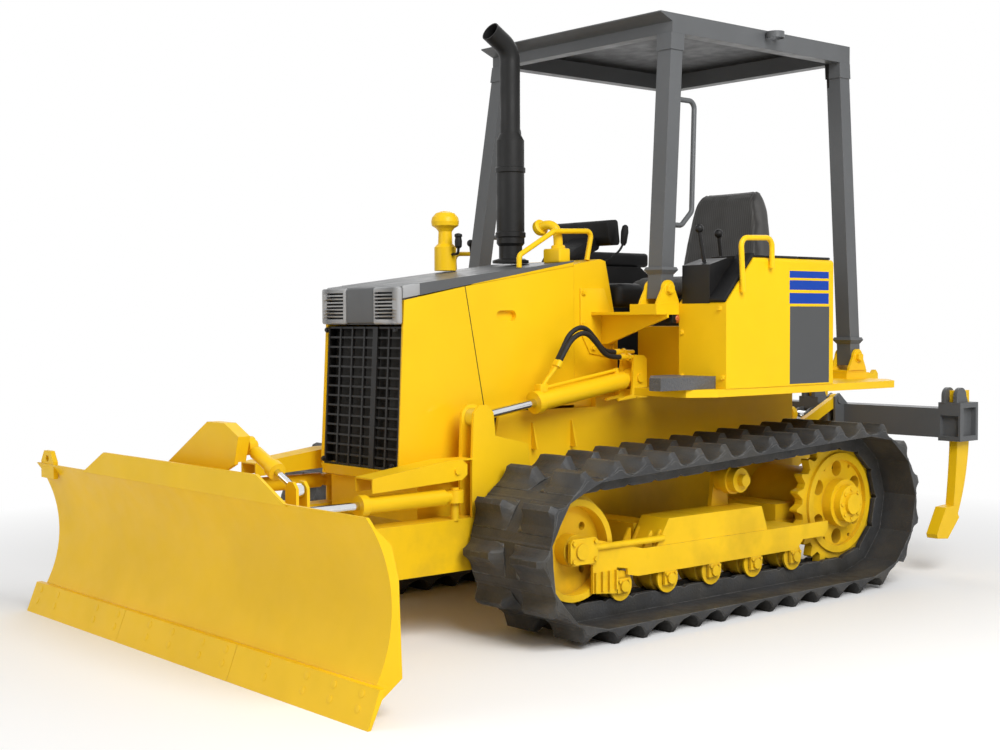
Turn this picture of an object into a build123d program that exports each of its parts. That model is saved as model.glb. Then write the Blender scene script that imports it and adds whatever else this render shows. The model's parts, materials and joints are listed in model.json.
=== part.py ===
from build123d import *
from math import asin, atan2, cos, degrees, hypot, pi, radians, sin, sqrt
import os

# Small crawler dozer with an angling blade, a four-post canopy and a rear ripper.
# Millimetres. The front faces -Y, its left side faces +X, and Z = 0 is the ground.
# The origin is on the ground, midway between the blade's edge and the back of the ripper.

CLEAR = 0.3              # gap where one piece seats on or turns in another
PIN_GAP = 2.0            # side gap between an eye and the ears that hold it

# Overall
LENGTH = 3867            # cutting edge to the back of the ripper's shank holders
FRONT_END = -LENGTH / 2

# Tracks
GAUGE = 1350             # centre to centre of the tracks
SHOE_WIDTH = 450
PITCH = 152              # chain pitch
SHOES = 33
SPROCKET_TEETH = 23      # the chain takes every second tooth gap
SPROCKET_Y = 1085
IDLER_PITCH_R = 243      # chain pitch line round the idler
RAIL_HALF = 34           # half the height of a chain link
PLATE_THICK = 10
LUG_HEIGHT = 56
RAIL_GAP = 60            # space for the teeth between a chain's two rails
RAIL_THICK = 24
BUSHING_R = 22
LUG_GAP = 96             # bare plate over the chain, between a shoe's two lugs
LUG_TAPER = 62           # length of the slope at each end of a lug
LUG_END_SHARE = 0.4      # height left at a lug's outer end
LUG_PROFILE = ((0.04, 0), (0.13, 0.05), (0.22, 0.27), (0.29, 0.68), (0.33, 1),
               (0.46, 1), (0.58, 0.6), (0.74, 0.22), (0.96, 0))   # share of the pitch, share of the height
SHOE_SEAM = 4            # depth of the groove between two shoes
TRACK_X = GAUGE / 2
GROUND_PITCH_Z = RAIL_HALF + PLATE_THICK + LUG_HEIGHT

# Sprocket, idler and rollers
SPROCKET_DISC_R = 228
SPROCKET_HOLES = 6
SPROCKET_HOLE_R = 35
TOOTH_WIDTH = 42
IDLER_WIDTH = 130
ROLLER_COUNT = 5
ROLLER_SPACING = 267
ROLLER_FIRST = 241       # first roller behind the idler
ROLLER_Z = 182
ROLLER_FLANGE_R = 60
ROLLER_HALF = 68
CARRIER_BACK = 976       # carrier roller behind the idler

# Track frame
BEAM_WIDTH = 168
BEAM_WALL = 12
BEAM_BOTTOM = 212
BEAM_TOP = 318
BEAM_REAR = 930          # its side plates run on beside the sprocket
SPRING_BOX_HEIGHT = 105
CROSS_Y = (-80, 830)     # cross members between the hull and the track frames
CROSS_LENGTH = 130

# Hull
HULL_HALF = 290
HULL_FRONT = -1020
HULL_REAR = 1273
HULL_BOTTOM = 330
HULL_TOP = 640
HULL_WALL = 20
CASE_FRONT = -60         # the transmission case stands on the back of the hull
DECK_Z = 930
DECK_THICK = 12
FINAL_DRIVE_R = 150

# Engine enclosure
HOOD_HALF = 262
SHEET = 6
HOOD_FRONT = -1090       # grille face at its foot
GRILLE_LEAN = 29         # how far the grille leans back over its height
GRILLE_WIDTH = 499
GRILLE_BOTTOM = 639
GRILLE_TOP = 1196
LAMP_TOP = 1349
HOOD_SLOPE = 0.128
PANEL_FRONT_TOP = 1297
PANEL_SLOPE = 0.167
SEAM_TOP_Y = -754
SEAM_BOTTOM_Y = -656
COWL_FRONT = -160
COWL_REAR = 40
PANEL_BOTTOM_FRONT = 655
PANEL_BOTTOM_REAR = 860
SEAM_GAP = 0.8
GRIP_Y = -538             # recessed grip in a side panel
GRIP_Z = 1237
GRIP_LENGTH = 104
GRIP_HEIGHT = 42

# Push frame, swinging on two trunnions in front of the cross members
TRUNNION_Y = -286
TRUNNION_Z = 350
TRUNNION_R = 36
ARM_INNER = 330
ARM_WIDTH = 100
ARM_BOTTOM = 262
ARM_HEIGHT = 200
NOSE_Y = -1636           # upright pivot of the yoke
NOSE_R = 62
LIFT_PIN_Y = -801
LIFT_PIN_Z = 842
LIFT_BASE_Y = 68
LIFT_BASE_Z = 972
LIFT_X = 386
LIFT_EYE_HALF = 28
EAR_THICK = 12

# Angle cylinders
ANGLE_X = 420
ANGLE_EYE_HALF = 24
ANGLE_BASE_Y = -941
ANGLE_BASE_Z = 550
YOKE_EYE_Y = -1716
YOKE_EYE_Z = 550

GUARD_FRONT = -1350

# Blade
BLADE_WIDTH = 2362
EDGE_WIDTH = 2460
BLADE_FOOT_Y = -1865
BLADE_FOOT_Z = 118
BLADE_DEEP_Y = -1806
BLADE_DEEP_Z = 352
BLADE_TIP_Y = -1901
BLADE_TIP_Z = 630
BLADE_SKIN = 12
EDGE_THICK = 19
TILT_Z = 400
LUG_X = -1090            # lifting eye at the blade's right-hand corner
LUG_HOLE_R = 14
LUG_HOLE_RISE = 22       # above the moldboard's top edge
SPILL_WIDTH = 1120       # raised plate over the middle of the moldboard
SPILL_HEIGHT = 82

# Tilt cylinder
HORN_X = 205
HORN_Z = 775
TILT_ANCHOR_X = 520
TILT_ANCHOR_Z = 640
TILT_Y = -1712
TILT_EYE_HALF = 14

# Operator's place
BOX_INNER = 647
BOX_OUTER = 900
BOX_FRONT = 69
BOX_REAR = 770
BOX_BOTTOM = 940
BOX_TOP = 1471
BOX_WALL = 5
LEDGE_FRONT = -90        # the ledge under the boxes runs on in front of them
LEDGE_DEPTH = 32
STEP_FRONT = -254
STEP_OUTER = 846
STEP_HEIGHT = 50
RISER_TOP = 1190         # raised floor beside the footwell
FOOTWELL_HALF = 300
FOOT_BEAM_HALF = 655
SEAT_Y = 950
SEAT_Z = 1330
SEAT_WIDTH = 440
SEAT_BACK_TOP = 1856

# Canopy
CANOPY_WIDTH = 1146
CANOPY_FRONT = 38
CANOPY_REAR = 1330
CANOPY_TOP = 2491
CANOPY_DEPTH = 80
CANOPY_BORDER = 60
VISOR_REACH = 72         # how far the visor stands out in front of the front beam
POST_X = 76
POST_Y = 72
FRONT_POST_FOOT_Y = 12
FRONT_POST_TOP_Y = 145
REAR_POST_FOOT_Y = 1285
REAR_POST_TOP_Y = 1292
FRONT_BASE_TOP = 1283    # top of the blocks that carry the posts' ears
REAR_BASE_TOP = 980
FOOT_LIFT = 22           # a post's end stands this far over its block
EAR_RISE = 62            # the bolt's height over the block
COLLAR_RISE = 100        # the flared collar's height over the post's end
COLLAR_HEIGHT = 30
SLEEVE_HEIGHT = 70
RAIL_R = 11
SPLAY = 0.056            # sideways lean of every post

# Ripper, held level by two pairs of links
RIPPER_PIVOT_Y = 1330
RIPPER_PIVOT_Z = 480
LINK_RISE = 150          # upper link's pins above the lower link's
LINK_RUN = 410           # the links' reach at rest
LINK_LIFT = 175
LINK_X = 195
LINK_THICK = 30
LINK_PIN_R = 18
TOOLBAR_FRONT = 1778
TOOLBAR_DEPTH = 130
TOOLBAR_BOTTOM = 645
TOOLBAR_HEIGHT = 140
TOOLBAR_HALF = 790
HOLDER_WIDTH = 120
SHANK_X = 832
SHANK_THICK = 44
SHANK_FRONT = 1815
SHANK_REAR = 1915
LUG_THICK = 20
RAM_BASE_Y = 1320
RAM_BASE_Z = 770
RAM_EYE_Z = 712


def block(x0, x1, y0, y1, z0, z1):
    """A box given by its two corners."""
    return Pos((x0 + x1) / 2, (y0 + y1) / 2, (z0 + z1) / 2) * Box(x1 - x0, y1 - y0, z1 - z0)


def side_plate(points, x0, x1):
    """A plate drawn in the side view as (y, z) points, from x0 to x1."""
    outline = make_face(Polyline(*points, close=True))
    return extrude(Plane.YZ.offset(x0) * outline, amount=x1 - x0)


def plan_plate(points, z0, z1):
    """A plate drawn in the plan view as (x, y) points, from z0 to z1."""
    outline = make_face(Polyline(*points, close=True))
    return extrude(Plane.XY.offset(z0) * outline, amount=z1 - z0)


def front_plate(points, y0, y1):
    """A plate drawn in the front view as (x, z) points, from y0 to y1."""
    outline = make_face(Polyline(*[(x, 0, z) for x, z in points], close=True))
    return Pos(0, y0, 0) * extrude(outline, amount=y1 - y0, dir=(0, 1, 0))


def rod(start, end, radius):
    """A round bar between two points."""
    start, end = Vector(*start), Vector(*end)
    length = (end - start).length
    bottom = (Align.CENTER, Align.CENTER, Align.MIN)
    return Plane(origin=start, z_dir=end - start) * Cylinder(radius, length, align=bottom)


def bar_x(y, z, x0, x1, radius):
    """A round bar across the machine."""
    return rod((x0, y, z), (x1, y, z), radius)


def bent_tube(points, radius, bend):
    """A round tube along a path whose corners are arcs."""
    path = FilletPolyline(*points, radius=bend)
    start = Plane(origin=path @ 0, z_dir=path % 0)
    return sweep(start * Circle(radius), path=path)


def mirrored(part):
    """The same piece on the machine's other side."""
    return mirror(part, about=Plane.YZ)


def solids_of(*parts):
    """Solids that don't touch, kept together as one node."""
    return Compound(children=[solid for part in parts for solid in part.solids()])


# Track loop

SPROCKET_PITCH_R = PITCH / (2 * sin(pi / (SPROCKET_TEETH / 2)))
SPROCKET_Z = GROUND_PITCH_Z + SPROCKET_PITCH_R
IDLER_Z = GROUND_PITCH_Z + IDLER_PITCH_R


def loop_point(distance, idler_y):
    """A point of the pitch line, measured along it from the sprocket's top tangent towards the front."""
    span = SPROCKET_Y - idler_y
    drop = SPROCKET_Z - IDLER_Z
    centres = hypot(span, drop)
    lean = atan2(drop, span) + asin((SPROCKET_PITCH_R - IDLER_PITCH_R) / centres)
    run = sqrt(centres ** 2 - (SPROCKET_PITCH_R - IDLER_PITCH_R) ** 2)
    front_arc = IDLER_PITCH_R * (pi - lean)
    rear_arc = SPROCKET_PITCH_R * (pi + lean)
    total = 2 * run + front_arc + rear_arc
    distance = distance % total
    top = pi / 2 + lean
    if distance < run:
        y = SPROCKET_Y + SPROCKET_PITCH_R * cos(top) - distance * cos(lean)
        z = SPROCKET_Z + SPROCKET_PITCH_R * sin(top) - distance * sin(lean)
    elif distance < run + front_arc:
        angle = top + (distance - run) / IDLER_PITCH_R
        y = idler_y + IDLER_PITCH_R * cos(angle)
        z = IDLER_Z + IDLER_PITCH_R * sin(angle)
    elif distance < 2 * run + front_arc:
        y = idler_y + distance - run - front_arc
        z = GROUND_PITCH_Z
    else:
        angle = -pi / 2 + (distance - 2 * run - front_arc) / SPROCKET_PITCH_R
        y = SPROCKET_Y + SPROCKET_PITCH_R * cos(angle)
        z = SPROCKET_Z + SPROCKET_PITCH_R * sin(angle)
    return y, z, total


def next_joint(distance, idler_y):
    """The chain's next pin: one straight pitch further along the loop."""
    y, z, total = loop_point(distance, idler_y)
    low, high = distance + 0.9 * PITCH, distance + 1.2 * PITCH
    for _ in range(40):
        middle = (low + high) / 2
        y2, z2, total = loop_point(middle, idler_y)
        if hypot(y2 - y, z2 - z) < PITCH:
            low = middle
        else:
            high = middle
    return middle


def chain_from(idler_y):
    """The pins of the whole chain, and how far its end overshoots its start."""
    total = loop_point(0, idler_y)[2]
    start = total - SPROCKET_PITCH_R * pi / 2
    distance = start
    joints = []
    for _ in range(SHOES):
        joints.append(loop_point(distance, idler_y)[:2])
        distance = next_joint(distance, idler_y)
    return joints, distance - start - total


def tension_idler():
    """Where the idler stands when the chain is just tight."""
    near, far = SPROCKET_Y - 1500, SPROCKET_Y - 1900
    for _ in range(40):
        middle = (near + far) / 2
        if chain_from(middle)[1] > 0:
            near = middle
        else:
            far = middle
    return middle


IDLER_Y = tension_idler()
CHAIN = chain_from(IDLER_Y)[0]
IDLER_RIM_R = sqrt(IDLER_PITCH_R ** 2 - (PITCH / 2) ** 2) - RAIL_HALF - CLEAR
ROLLER_R = ROLLER_Z - GROUND_PITCH_Z - RAIL_HALF - CLEAR


def loop_outline(offsets):
    """A closed outline round the loop: each link gives the same (along, outward) points."""
    points = []
    for index, (y, z) in enumerate(CHAIN):
        y2, z2 = CHAIN[(index + 1) % SHOES]
        along_y, along_z = (y2 - y) / PITCH, (z2 - z) / PITCH
        out_y, out_z = along_z, -along_y
        for share, out in offsets:
            points.append((y + along_y * share * PITCH + out_y * out,
                           z + along_z * share * PITCH + out_z * out))
    return points


def loop_band(outer, inner, x0, x1):
    """A band round the loop between two repeated outlines."""
    band = side_plate(loop_outline(outer), x0, x1)
    return band - side_plate(loop_outline(inner), x0 - 1, x1 + 1)


def shoe_outline(lug):
    """Outer side of one shoe as (share of the pitch, height), its lug at a share of full height."""
    plate = RAIL_HALF + PLATE_THICK
    return [(0.0, plate - SHOE_SEAM)] + [(share, plate + lug * LUG_HEIGHT * rise) for share, rise in LUG_PROFILE]


def track_shoes():
    """The belt of shoes, lofted across its width: lugs that taper at both ends and leave the middle bare."""
    half = SHOE_WIDTH / 2
    middle = LUG_GAP / 2
    stations = [(-half, LUG_END_SHARE), (-half + LUG_TAPER, 1), (-middle - LUG_TAPER, 1), (-middle, 0)]
    stations += [(-x, lug) for x, lug in reversed(stations)]
    sections = [Plane.YZ.offset(x) * make_face(Polyline(*loop_outline(shoe_outline(lug)), close=True))
                for x, lug in stations]
    inside = side_plate(loop_outline([(0.0, RAIL_HALF), (0.5, RAIL_HALF)]), -half - 1, half + 1)
    return loft(sections, ruled=True) - inside


def track():
    """The left track: its belt of shoes, the chain's two rails and their bushings."""
    outer = [(0.06, RAIL_HALF + PLATE_THICK / 2), (0.97, RAIL_HALF + PLATE_THICK / 2)]
    inner = [(0.0, -RAIL_HALF + 9), (0.14, -RAIL_HALF), (0.86, -RAIL_HALF)]
    chain = [loop_band(outer, inner, x0, x0 + RAIL_THICK) for x0 in (-RAIL_GAP / 2 - RAIL_THICK, RAIL_GAP / 2)]
    reach = (RAIL_GAP + RAIL_THICK) / 2
    chain += [bar_x(y, z, -reach, reach, BUSHING_R) for y, z in CHAIN]
    return Pos(TRACK_X, 0, 0) * (track_shoes() + chain)


def sprocket_teeth():
    """The toothed ring: a valley for a bushing every half pitch."""
    step = 2 * pi / SPROCKET_TEETH
    root = SPROCKET_PITCH_R - BUSHING_R - CLEAR
    tip = SPROCKET_PITCH_R + 16
    phase = atan2(CHAIN[0][1] - SPROCKET_Z, CHAIN[0][0] - SPROCKET_Y)
    points = []
    for tooth in range(SPROCKET_TEETH):
        valley = phase + tooth * step
        for turn, radius in ((-0.17, root), (0.17, root), (0.44, tip), (0.56, tip)):
            angle = valley + turn * step
            points.append((SPROCKET_Y + radius * cos(angle), SPROCKET_Z + radius * sin(angle)))
    ring = side_plate(points, -TOOTH_WIDTH / 2, TOOTH_WIDTH / 2)
    for tooth in range(SPROCKET_TEETH):
        angle = phase + tooth * step
        y = SPROCKET_Y + SPROCKET_PITCH_R * cos(angle)
        z = SPROCKET_Z + SPROCKET_PITCH_R * sin(angle)
        ring -= bar_x(y, z, -TOOTH_WIDTH, TOOTH_WIDTH, BUSHING_R + CLEAR)
    return ring


def sprocket(side):
    """Toothed ring on a dished disc with round holes, and the final drive's hub."""
    body = sprocket_teeth()
    body += bar_x(SPROCKET_Y, SPROCKET_Z, -34, 34, SPROCKET_DISC_R)
    for index in range(SPROCKET_HOLES):
        angle = radians(90 + index * 360 / SPROCKET_HOLES)
        y = SPROCKET_Y + 0.68 * SPROCKET_DISC_R * cos(angle)
        z = SPROCKET_Z + 0.68 * SPROCKET_DISC_R * sin(angle)
        body -= bar_x(y, z, -60, 60, SPROCKET_HOLE_R)
        y = SPROCKET_Y + 0.8 * SPROCKET_DISC_R * cos(angle + pi / SPROCKET_HOLES)
        z = SPROCKET_Z + 0.8 * SPROCKET_DISC_R * sin(angle + pi / SPROCKET_HOLES)
        body -= bar_x(y, z, -60, 60, 9)
    body -= bar_x(SPROCKET_Y, SPROCKET_Z, 14, 60, 196)
    body += bar_x(SPROCKET_Y, SPROCKET_Z, 0, 62, 108)
    body += bar_x(SPROCKET_Y, SPROCKET_Z, 62, 96, 84)
    body += bar_x(SPROCKET_Y, SPROCKET_Z, 96, 112, 46)
    for index in range(8):
        angle = 2 * pi * index / 8
        body += bar_x(SPROCKET_Y + 66 * cos(angle), SPROCKET_Z + 66 * sin(angle), 94, 102, 8)
    placed = Pos(TRACK_X, 0, 0) * body
    return placed if side > 0 else mirrored(placed)


def idler(side):
    """A spoked idler: a rim each side of the guide flange, on a hub."""
    half = IDLER_WIDTH / 2
    body = bar_x(IDLER_Y, IDLER_Z, -half, half, IDLER_RIM_R)
    body += bar_x(IDLER_Y, IDLER_Z, -TOOTH_WIDTH / 2, TOOTH_WIDTH / 2, IDLER_RIM_R + 22)
    for face in (-1, 1):
        ring = bar_x(IDLER_Y, IDLER_Z, 12, half + 5, IDLER_RIM_R - 26)
        ring -= bar_x(IDLER_Y, IDLER_Z, 12, half + 5, 62)
        body -= ring if face > 0 else mirrored(ring)
    middle = (62 + IDLER_RIM_R - 26) / 2
    for index in range(4):
        angle = pi / 4 + index * pi / 2
        body -= bar_x(IDLER_Y + middle * cos(angle), IDLER_Z + middle * sin(angle), -half, half, 16)
    hub = BEAM_WIDTH / 2 - BEAM_WALL - CLEAR
    body += bar_x(IDLER_Y, IDLER_Z, -hub, hub, 40)
    placed = Pos(TRACK_X, 0, 0) * body
    return placed if side > 0 else mirrored(placed)


def roller(y, z, radius, flange):
    """A double-flanged roller turned round its own axle."""
    body = bar_x(y, z, -ROLLER_HALF, ROLLER_HALF, radius)
    inner = RAIL_GAP / 2 - 4
    outer = RAIL_GAP / 2 + RAIL_THICK + 4
    body += bar_x(y, z, -inner, inner, flange)
    for x0 in (-ROLLER_HALF, outer):
        body += bar_x(y, z, x0, x0 + ROLLER_HALF - outer, flange)
    return body


def rollers():
    """The bottom rollers, hung under both beams by their collars."""
    pieces = []
    outer = BEAM_WIDTH / 2
    for index in range(ROLLER_COUNT):
        y = IDLER_Y + ROLLER_FIRST + index * ROLLER_SPACING
        unit = roller(y, ROLLER_Z, ROLLER_R, ROLLER_FLANGE_R)
        unit += bar_x(y, ROLLER_Z, -outer - 10, outer + 10, 22)
        for x0 in (-outer, outer - BEAM_WALL):
            unit += block(x0, x0 + BEAM_WALL, y - 34, y + 34, ROLLER_Z - 26, BEAM_BOTTOM)
        for bolt_y in (y - 26, y + 26):
            unit += bar_x(bolt_y, ROLLER_Z + 20, outer - 4, outer + 8, 7)
        pieces.append(unit)
    left = [Pos(TRACK_X, 0, 0) * piece for piece in pieces]
    return solids_of(*left, *[mirrored(piece) for piece in left])


def carrier_roller(side):
    """The roller that holds up the top run, on a stub axle from its bracket."""
    y = IDLER_Y + CARRIER_BACK
    z = carrier_height()
    bracket = -BEAM_WIDTH / 2 + 22
    body = bar_x(y, z, -56, 56, 52) + bar_x(y, z, -18, 18, 62) + bar_x(y, z, 56, 84, 26)
    body += bar_x(y, z, bracket + CLEAR, -56, 26)
    placed = Pos(TRACK_X, 0, 0) * body
    return placed if side > 0 else mirrored(placed)


def carrier_height():
    """The carrier roller's axle, just under the top run of the chain."""
    y = IDLER_Y + CARRIER_BACK
    share = (y - IDLER_Y) / (SPROCKET_Y - IDLER_Y)
    top_line = IDLER_Z + IDLER_PITCH_R + share * (SPROCKET_PITCH_R * 2 - IDLER_PITCH_R * 2)
    return top_line - RAIL_HALF - 52 - 6


def track_frame(side):
    """Channel beam over the rollers, spring housing, idler fork and the carrier's bracket."""
    half = BEAM_WIDTH / 2
    wall = BEAM_WALL
    front = IDLER_Y + 262
    rear = SPROCKET_Y - SPROCKET_PITCH_R - 52
    beam = side_plate([(front, BEAM_BOTTOM + 12), (front + 60, BEAM_BOTTOM), (rear - 40, BEAM_BOTTOM),
                       (rear, BEAM_BOTTOM + 40), (rear, BEAM_TOP), (front, BEAM_TOP)], -half, half)
    beam -= block(-half + wall, half - wall, front - 1, rear + 1, BEAM_BOTTOM - 1, BEAM_TOP - 18)
    for x0 in (-half, half - wall):
        beam += side_plate([(rear - 60, BEAM_BOTTOM + 40), (BEAM_REAR - 30, BEAM_BOTTOM + 40),
                            (BEAM_REAR, BEAM_BOTTOM + 70), (BEAM_REAR, BEAM_TOP), (rear - 60, BEAM_TOP)], x0, x0 + wall)
    box_front, box_rear = front + 170, front + 860
    box_top = BEAM_TOP + SPRING_BOX_HEIGHT
    beam += side_plate([(box_front, BEAM_TOP - 2), (box_rear, BEAM_TOP - 2), (box_rear - 40, box_top),
                        (box_front + 70, box_top)], -half + 14, half - 4)
    for x0 in (-half, half - wall):
        beam += side_plate([(IDLER_Y - 34, IDLER_Z - 40), (front + 90, BEAM_BOTTOM + 20), (front + 90, BEAM_TOP),
                            (IDLER_Y + 60, IDLER_Z + 42), (IDLER_Y - 34, IDLER_Z + 42)], x0, x0 + wall)
    beam += side_plate([(IDLER_Y - 58, IDLER_Z - 36), (IDLER_Y - 44, IDLER_Z - 50), (IDLER_Y + 74, IDLER_Z - 50),
                        (IDLER_Y + 88, IDLER_Z - 36), (IDLER_Y + 88, IDLER_Z + 36), (IDLER_Y + 74, IDLER_Z + 50),
                        (IDLER_Y - 44, IDLER_Z + 50), (IDLER_Y - 58, IDLER_Z + 36)], half - 2, half + 14)
    beam += bar_x(IDLER_Y, IDLER_Z, half, half + 22, 30)
    for y, z in ((-42, -34), (-42, 34), (72, -34), (72, 34)):
        beam += bar_x(IDLER_Y + y, IDLER_Z + z, half + 10, half + 22, 9)
    beam += rod((half + 2, IDLER_Y + 80, IDLER_Z + 6), (half + 2, box_front + 30, BEAM_TOP + 30), 13)
    for x0 in (-half + 24, half - 26):
        for foot_y in (box_front - 64, box_front - 10):
            beam += side_plate([(foot_y, BEAM_TOP - 4), (foot_y + 50, BEAM_TOP - 4), (foot_y + 50, BEAM_TOP + 62),
                                (foot_y + 40, BEAM_TOP + 62)], x0, x0 + 10)
    for x0 in (-half, half - wall):
        beam += side_plate([(front - 190, 172), (front - 60, 158), (front - 60, 290), (front - 190, 300)], x0, x0 + wall)
    for index in range(4):
        rib_y = front - 184 + index * 37
        beam += side_plate([(rib_y, 176), (rib_y + 9, 176), (rib_y + 9, 252), (rib_y, 252)], half - 2, half + 12)
    carrier_y = IDLER_Y + CARRIER_BACK
    top = carrier_height() + 34
    beam += side_plate([(carrier_y - 70, BEAM_TOP - 4), (carrier_y + 70, BEAM_TOP - 4), (carrier_y + 34, top),
                        (carrier_y - 34, top)], -half, -half + 22)
    for y in CROSS_Y:
        beam += block(-TRACK_X + HULL_HALF, -half + 4, y - CROSS_LENGTH / 2, y + CROSS_LENGTH / 2,
                      BEAM_BOTTOM + 28, HULL_BOTTOM + 60)
    placed = Pos(TRACK_X, 0, 0) * beam
    return placed if side > 0 else mirrored(placed)


# Hull and engine

def main_frame():
    """Hull tub, transmission case, final drives, trunnions and the lift cylinders' brackets."""
    hull = side_plate([(HULL_FRONT, HULL_BOTTOM + 110), (HULL_FRONT + 150, HULL_BOTTOM),
                       (HULL_REAR - 120, HULL_BOTTOM), (HULL_REAR, HULL_BOTTOM + 90), (HULL_REAR, DECK_Z),
                       (CASE_FRONT, DECK_Z), (CASE_FRONT, HULL_TOP), (HULL_FRONT, HULL_TOP)],
                      -HULL_HALF, HULL_HALF)
    wall = HULL_WALL
    hull -= side_plate([(HULL_FRONT + wall, HULL_BOTTOM + 118), (HULL_FRONT + 160, HULL_BOTTOM + wall),
                        (HULL_REAR - 130, HULL_BOTTOM + wall), (HULL_REAR - wall, HULL_BOTTOM + 102),
                        (HULL_REAR - wall, DECK_Z - wall), (CASE_FRONT + wall, DECK_Z - wall),
                        (CASE_FRONT + wall, HULL_TOP - wall), (HULL_FRONT + wall, HULL_TOP - wall)],
                       -HULL_HALF + wall, HULL_HALF - wall)
    drive_end = TRACK_X - 36
    for side in (-1, 1):
        hull += bar_x(SPROCKET_Y, SPROCKET_Z, side * HULL_HALF * 0.9, side * drive_end, FINAL_DRIVE_R)
        hull += bar_x(TRUNNION_Y, TRUNNION_Z + 40, side * (HULL_HALF - 10), side * (HULL_HALF + 20), 80)
        hull += bar_x(TRUNNION_Y, TRUNNION_Z, side * (HULL_HALF - 10), side * (ARM_INNER + ARM_WIDTH + 6), TRUNNION_R)
        hull += lift_bracket(side)
        skirt = side_plate([(-650, HULL_TOP - 5), (-600, 850), (CASE_FRONT + 5, 850), (CASE_FRONT + 5, HULL_TOP - 5)],
                           HULL_HALF - 14, HULL_HALF)
        for y in (-430, -210):
            skirt += front_plate([(HULL_HALF - 4, 690), (HULL_HALF + 34, 690), (HULL_HALF + 8, 800),
                                  (HULL_HALF - 4, 800)], y, y + 10)
        hull += skirt if side > 0 else mirrored(skirt)
    hull += ripper_mounts()
    return hull


def lift_bracket(side):
    """Two ears and a pin for the rear eye of a lift cylinder, on a shelf from the hull."""
    y, z = LIFT_BASE_Y, LIFT_BASE_Z
    inner = LIFT_X - LIFT_EYE_HALF - PIN_GAP - EAR_THICK
    outer = LIFT_X + LIFT_EYE_HALF + PIN_GAP
    outline = [(y - 44, z - 22), (y - 44, z + 22), (y - 34, z + 99), (y + 24, z + 96), (y + 41, z + 80),
               (y + 41, z - 47), (y - 30, z - 84), (y - 128, z - 94), (y - 128, z - 84), (y - 50, z - 70)]
    ears = side_plate(outline, inner, inner + EAR_THICK) + side_plate(outline, outer, outer + EAR_THICK)
    ears += block(HULL_HALF - 5, outer + EAR_THICK, y - 18, y + 41, z - 84, z - 48)
    ears += bar_x(y, z, inner - 8, outer + EAR_THICK + 8, 20)
    return ears if side > 0 else mirrored(ears)


def ripper_mounts():
    """Ears on the back of the hull for the ripper's links and its cylinder."""
    y, z = RIPPER_PIVOT_Y, RIPPER_PIVOT_Z
    outline = [(HULL_REAR - 5, z - 70), (y + 20, z - 34), (y + 38, z), (y + 38, z + LINK_RISE),
               (y + 20, z + LINK_RISE + 34), (HULL_REAR - 5, z + LINK_RISE + 60)]
    inner = LINK_X - LINK_THICK / 2 - PIN_GAP - EAR_THICK
    outer = LINK_X + LINK_THICK / 2 + PIN_GAP
    side = side_plate(outline, inner, inner + EAR_THICK) + side_plate(outline, outer, outer + EAR_THICK)
    for pin_z in (z, z + LINK_RISE):
        side += bar_x(y, pin_z, inner - 6, outer + EAR_THICK + 6, LINK_PIN_R)
    mounts = side + mirrored(side)
    ram = [(HULL_REAR - 5, RAM_BASE_Z - 60), (RAM_BASE_Y + 14, RAM_BASE_Z - 36), (RAM_BASE_Y + 36, RAM_BASE_Z),
           (RAM_BASE_Y + 14, RAM_BASE_Z + 36), (HULL_REAR - 5, RAM_BASE_Z + 60)]
    gap = LIFT_EYE_HALF + PIN_GAP
    ear = side_plate(ram, gap, gap + EAR_THICK)
    mounts += ear + mirrored(ear)
    mounts += bar_x(RAM_BASE_Y, RAM_BASE_Z, -gap - EAR_THICK - 6, gap + EAR_THICK + 6, 20)
    return mounts


def engine_block():
    """The engine as one plain mass on the hull."""
    return block(-190, 190, -900, -230, HULL_TOP, 1130)


def hood_top_z(y):
    return LAMP_TOP + HOOD_SLOPE * (y - HOOD_FRONT)


def panel_top_z(y):
    return PANEL_FRONT_TOP + PANEL_SLOPE * (y - HOOD_FRONT)


def grille_y(z):
    """The leaning face of the grille at a height."""
    return HOOD_FRONT + GRILLE_LEAN * (z - GRILLE_BOTTOM) / (GRILLE_TOP - GRILLE_BOTTOM)


def radiator_guard():
    """The yellow nose: side plates, a sill and a border that frames the grille."""
    front_bottom = (grille_y(PANEL_BOTTOM_FRONT), PANEL_BOTTOM_FRONT)
    front_top = (grille_y(PANEL_FRONT_TOP), PANEL_FRONT_TOP)
    rear_top = (SEAM_TOP_Y - SEAM_GAP, panel_top_z(SEAM_TOP_Y))
    rear_bottom = (SEAM_BOTTOM_Y - SEAM_GAP, PANEL_BOTTOM_REAR)
    outline = [front_bottom, front_top, rear_top, rear_bottom, (SEAM_BOTTOM_Y - 60, HULL_TOP),
               (HULL_FRONT + 40, HULL_TOP)]
    shell = side_plate(outline, HOOD_HALF - SHEET, HOOD_HALF)
    shell += mirrored(shell)
    sill = side_plate([(grille_y(GRILLE_BOTTOM), GRILLE_BOTTOM), (HULL_FRONT - CLEAR, GRILLE_BOTTOM),
                       (HULL_FRONT - CLEAR, 585), (HOOD_FRONT + 12, 600)], -HOOD_HALF, HOOD_HALF)
    shell += sill
    for side in (-1, 1):
        border = side_plate([(grille_y(600) + 8, 600), (grille_y(PANEL_FRONT_TOP), PANEL_FRONT_TOP),
                             (grille_y(PANEL_FRONT_TOP) + 30, PANEL_FRONT_TOP),
                             (grille_y(600) + 38, 600)],
                            GRILLE_WIDTH / 2, HOOD_HALF)
        shell += border if side > 0 else mirrored(border)
    return shell


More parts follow.
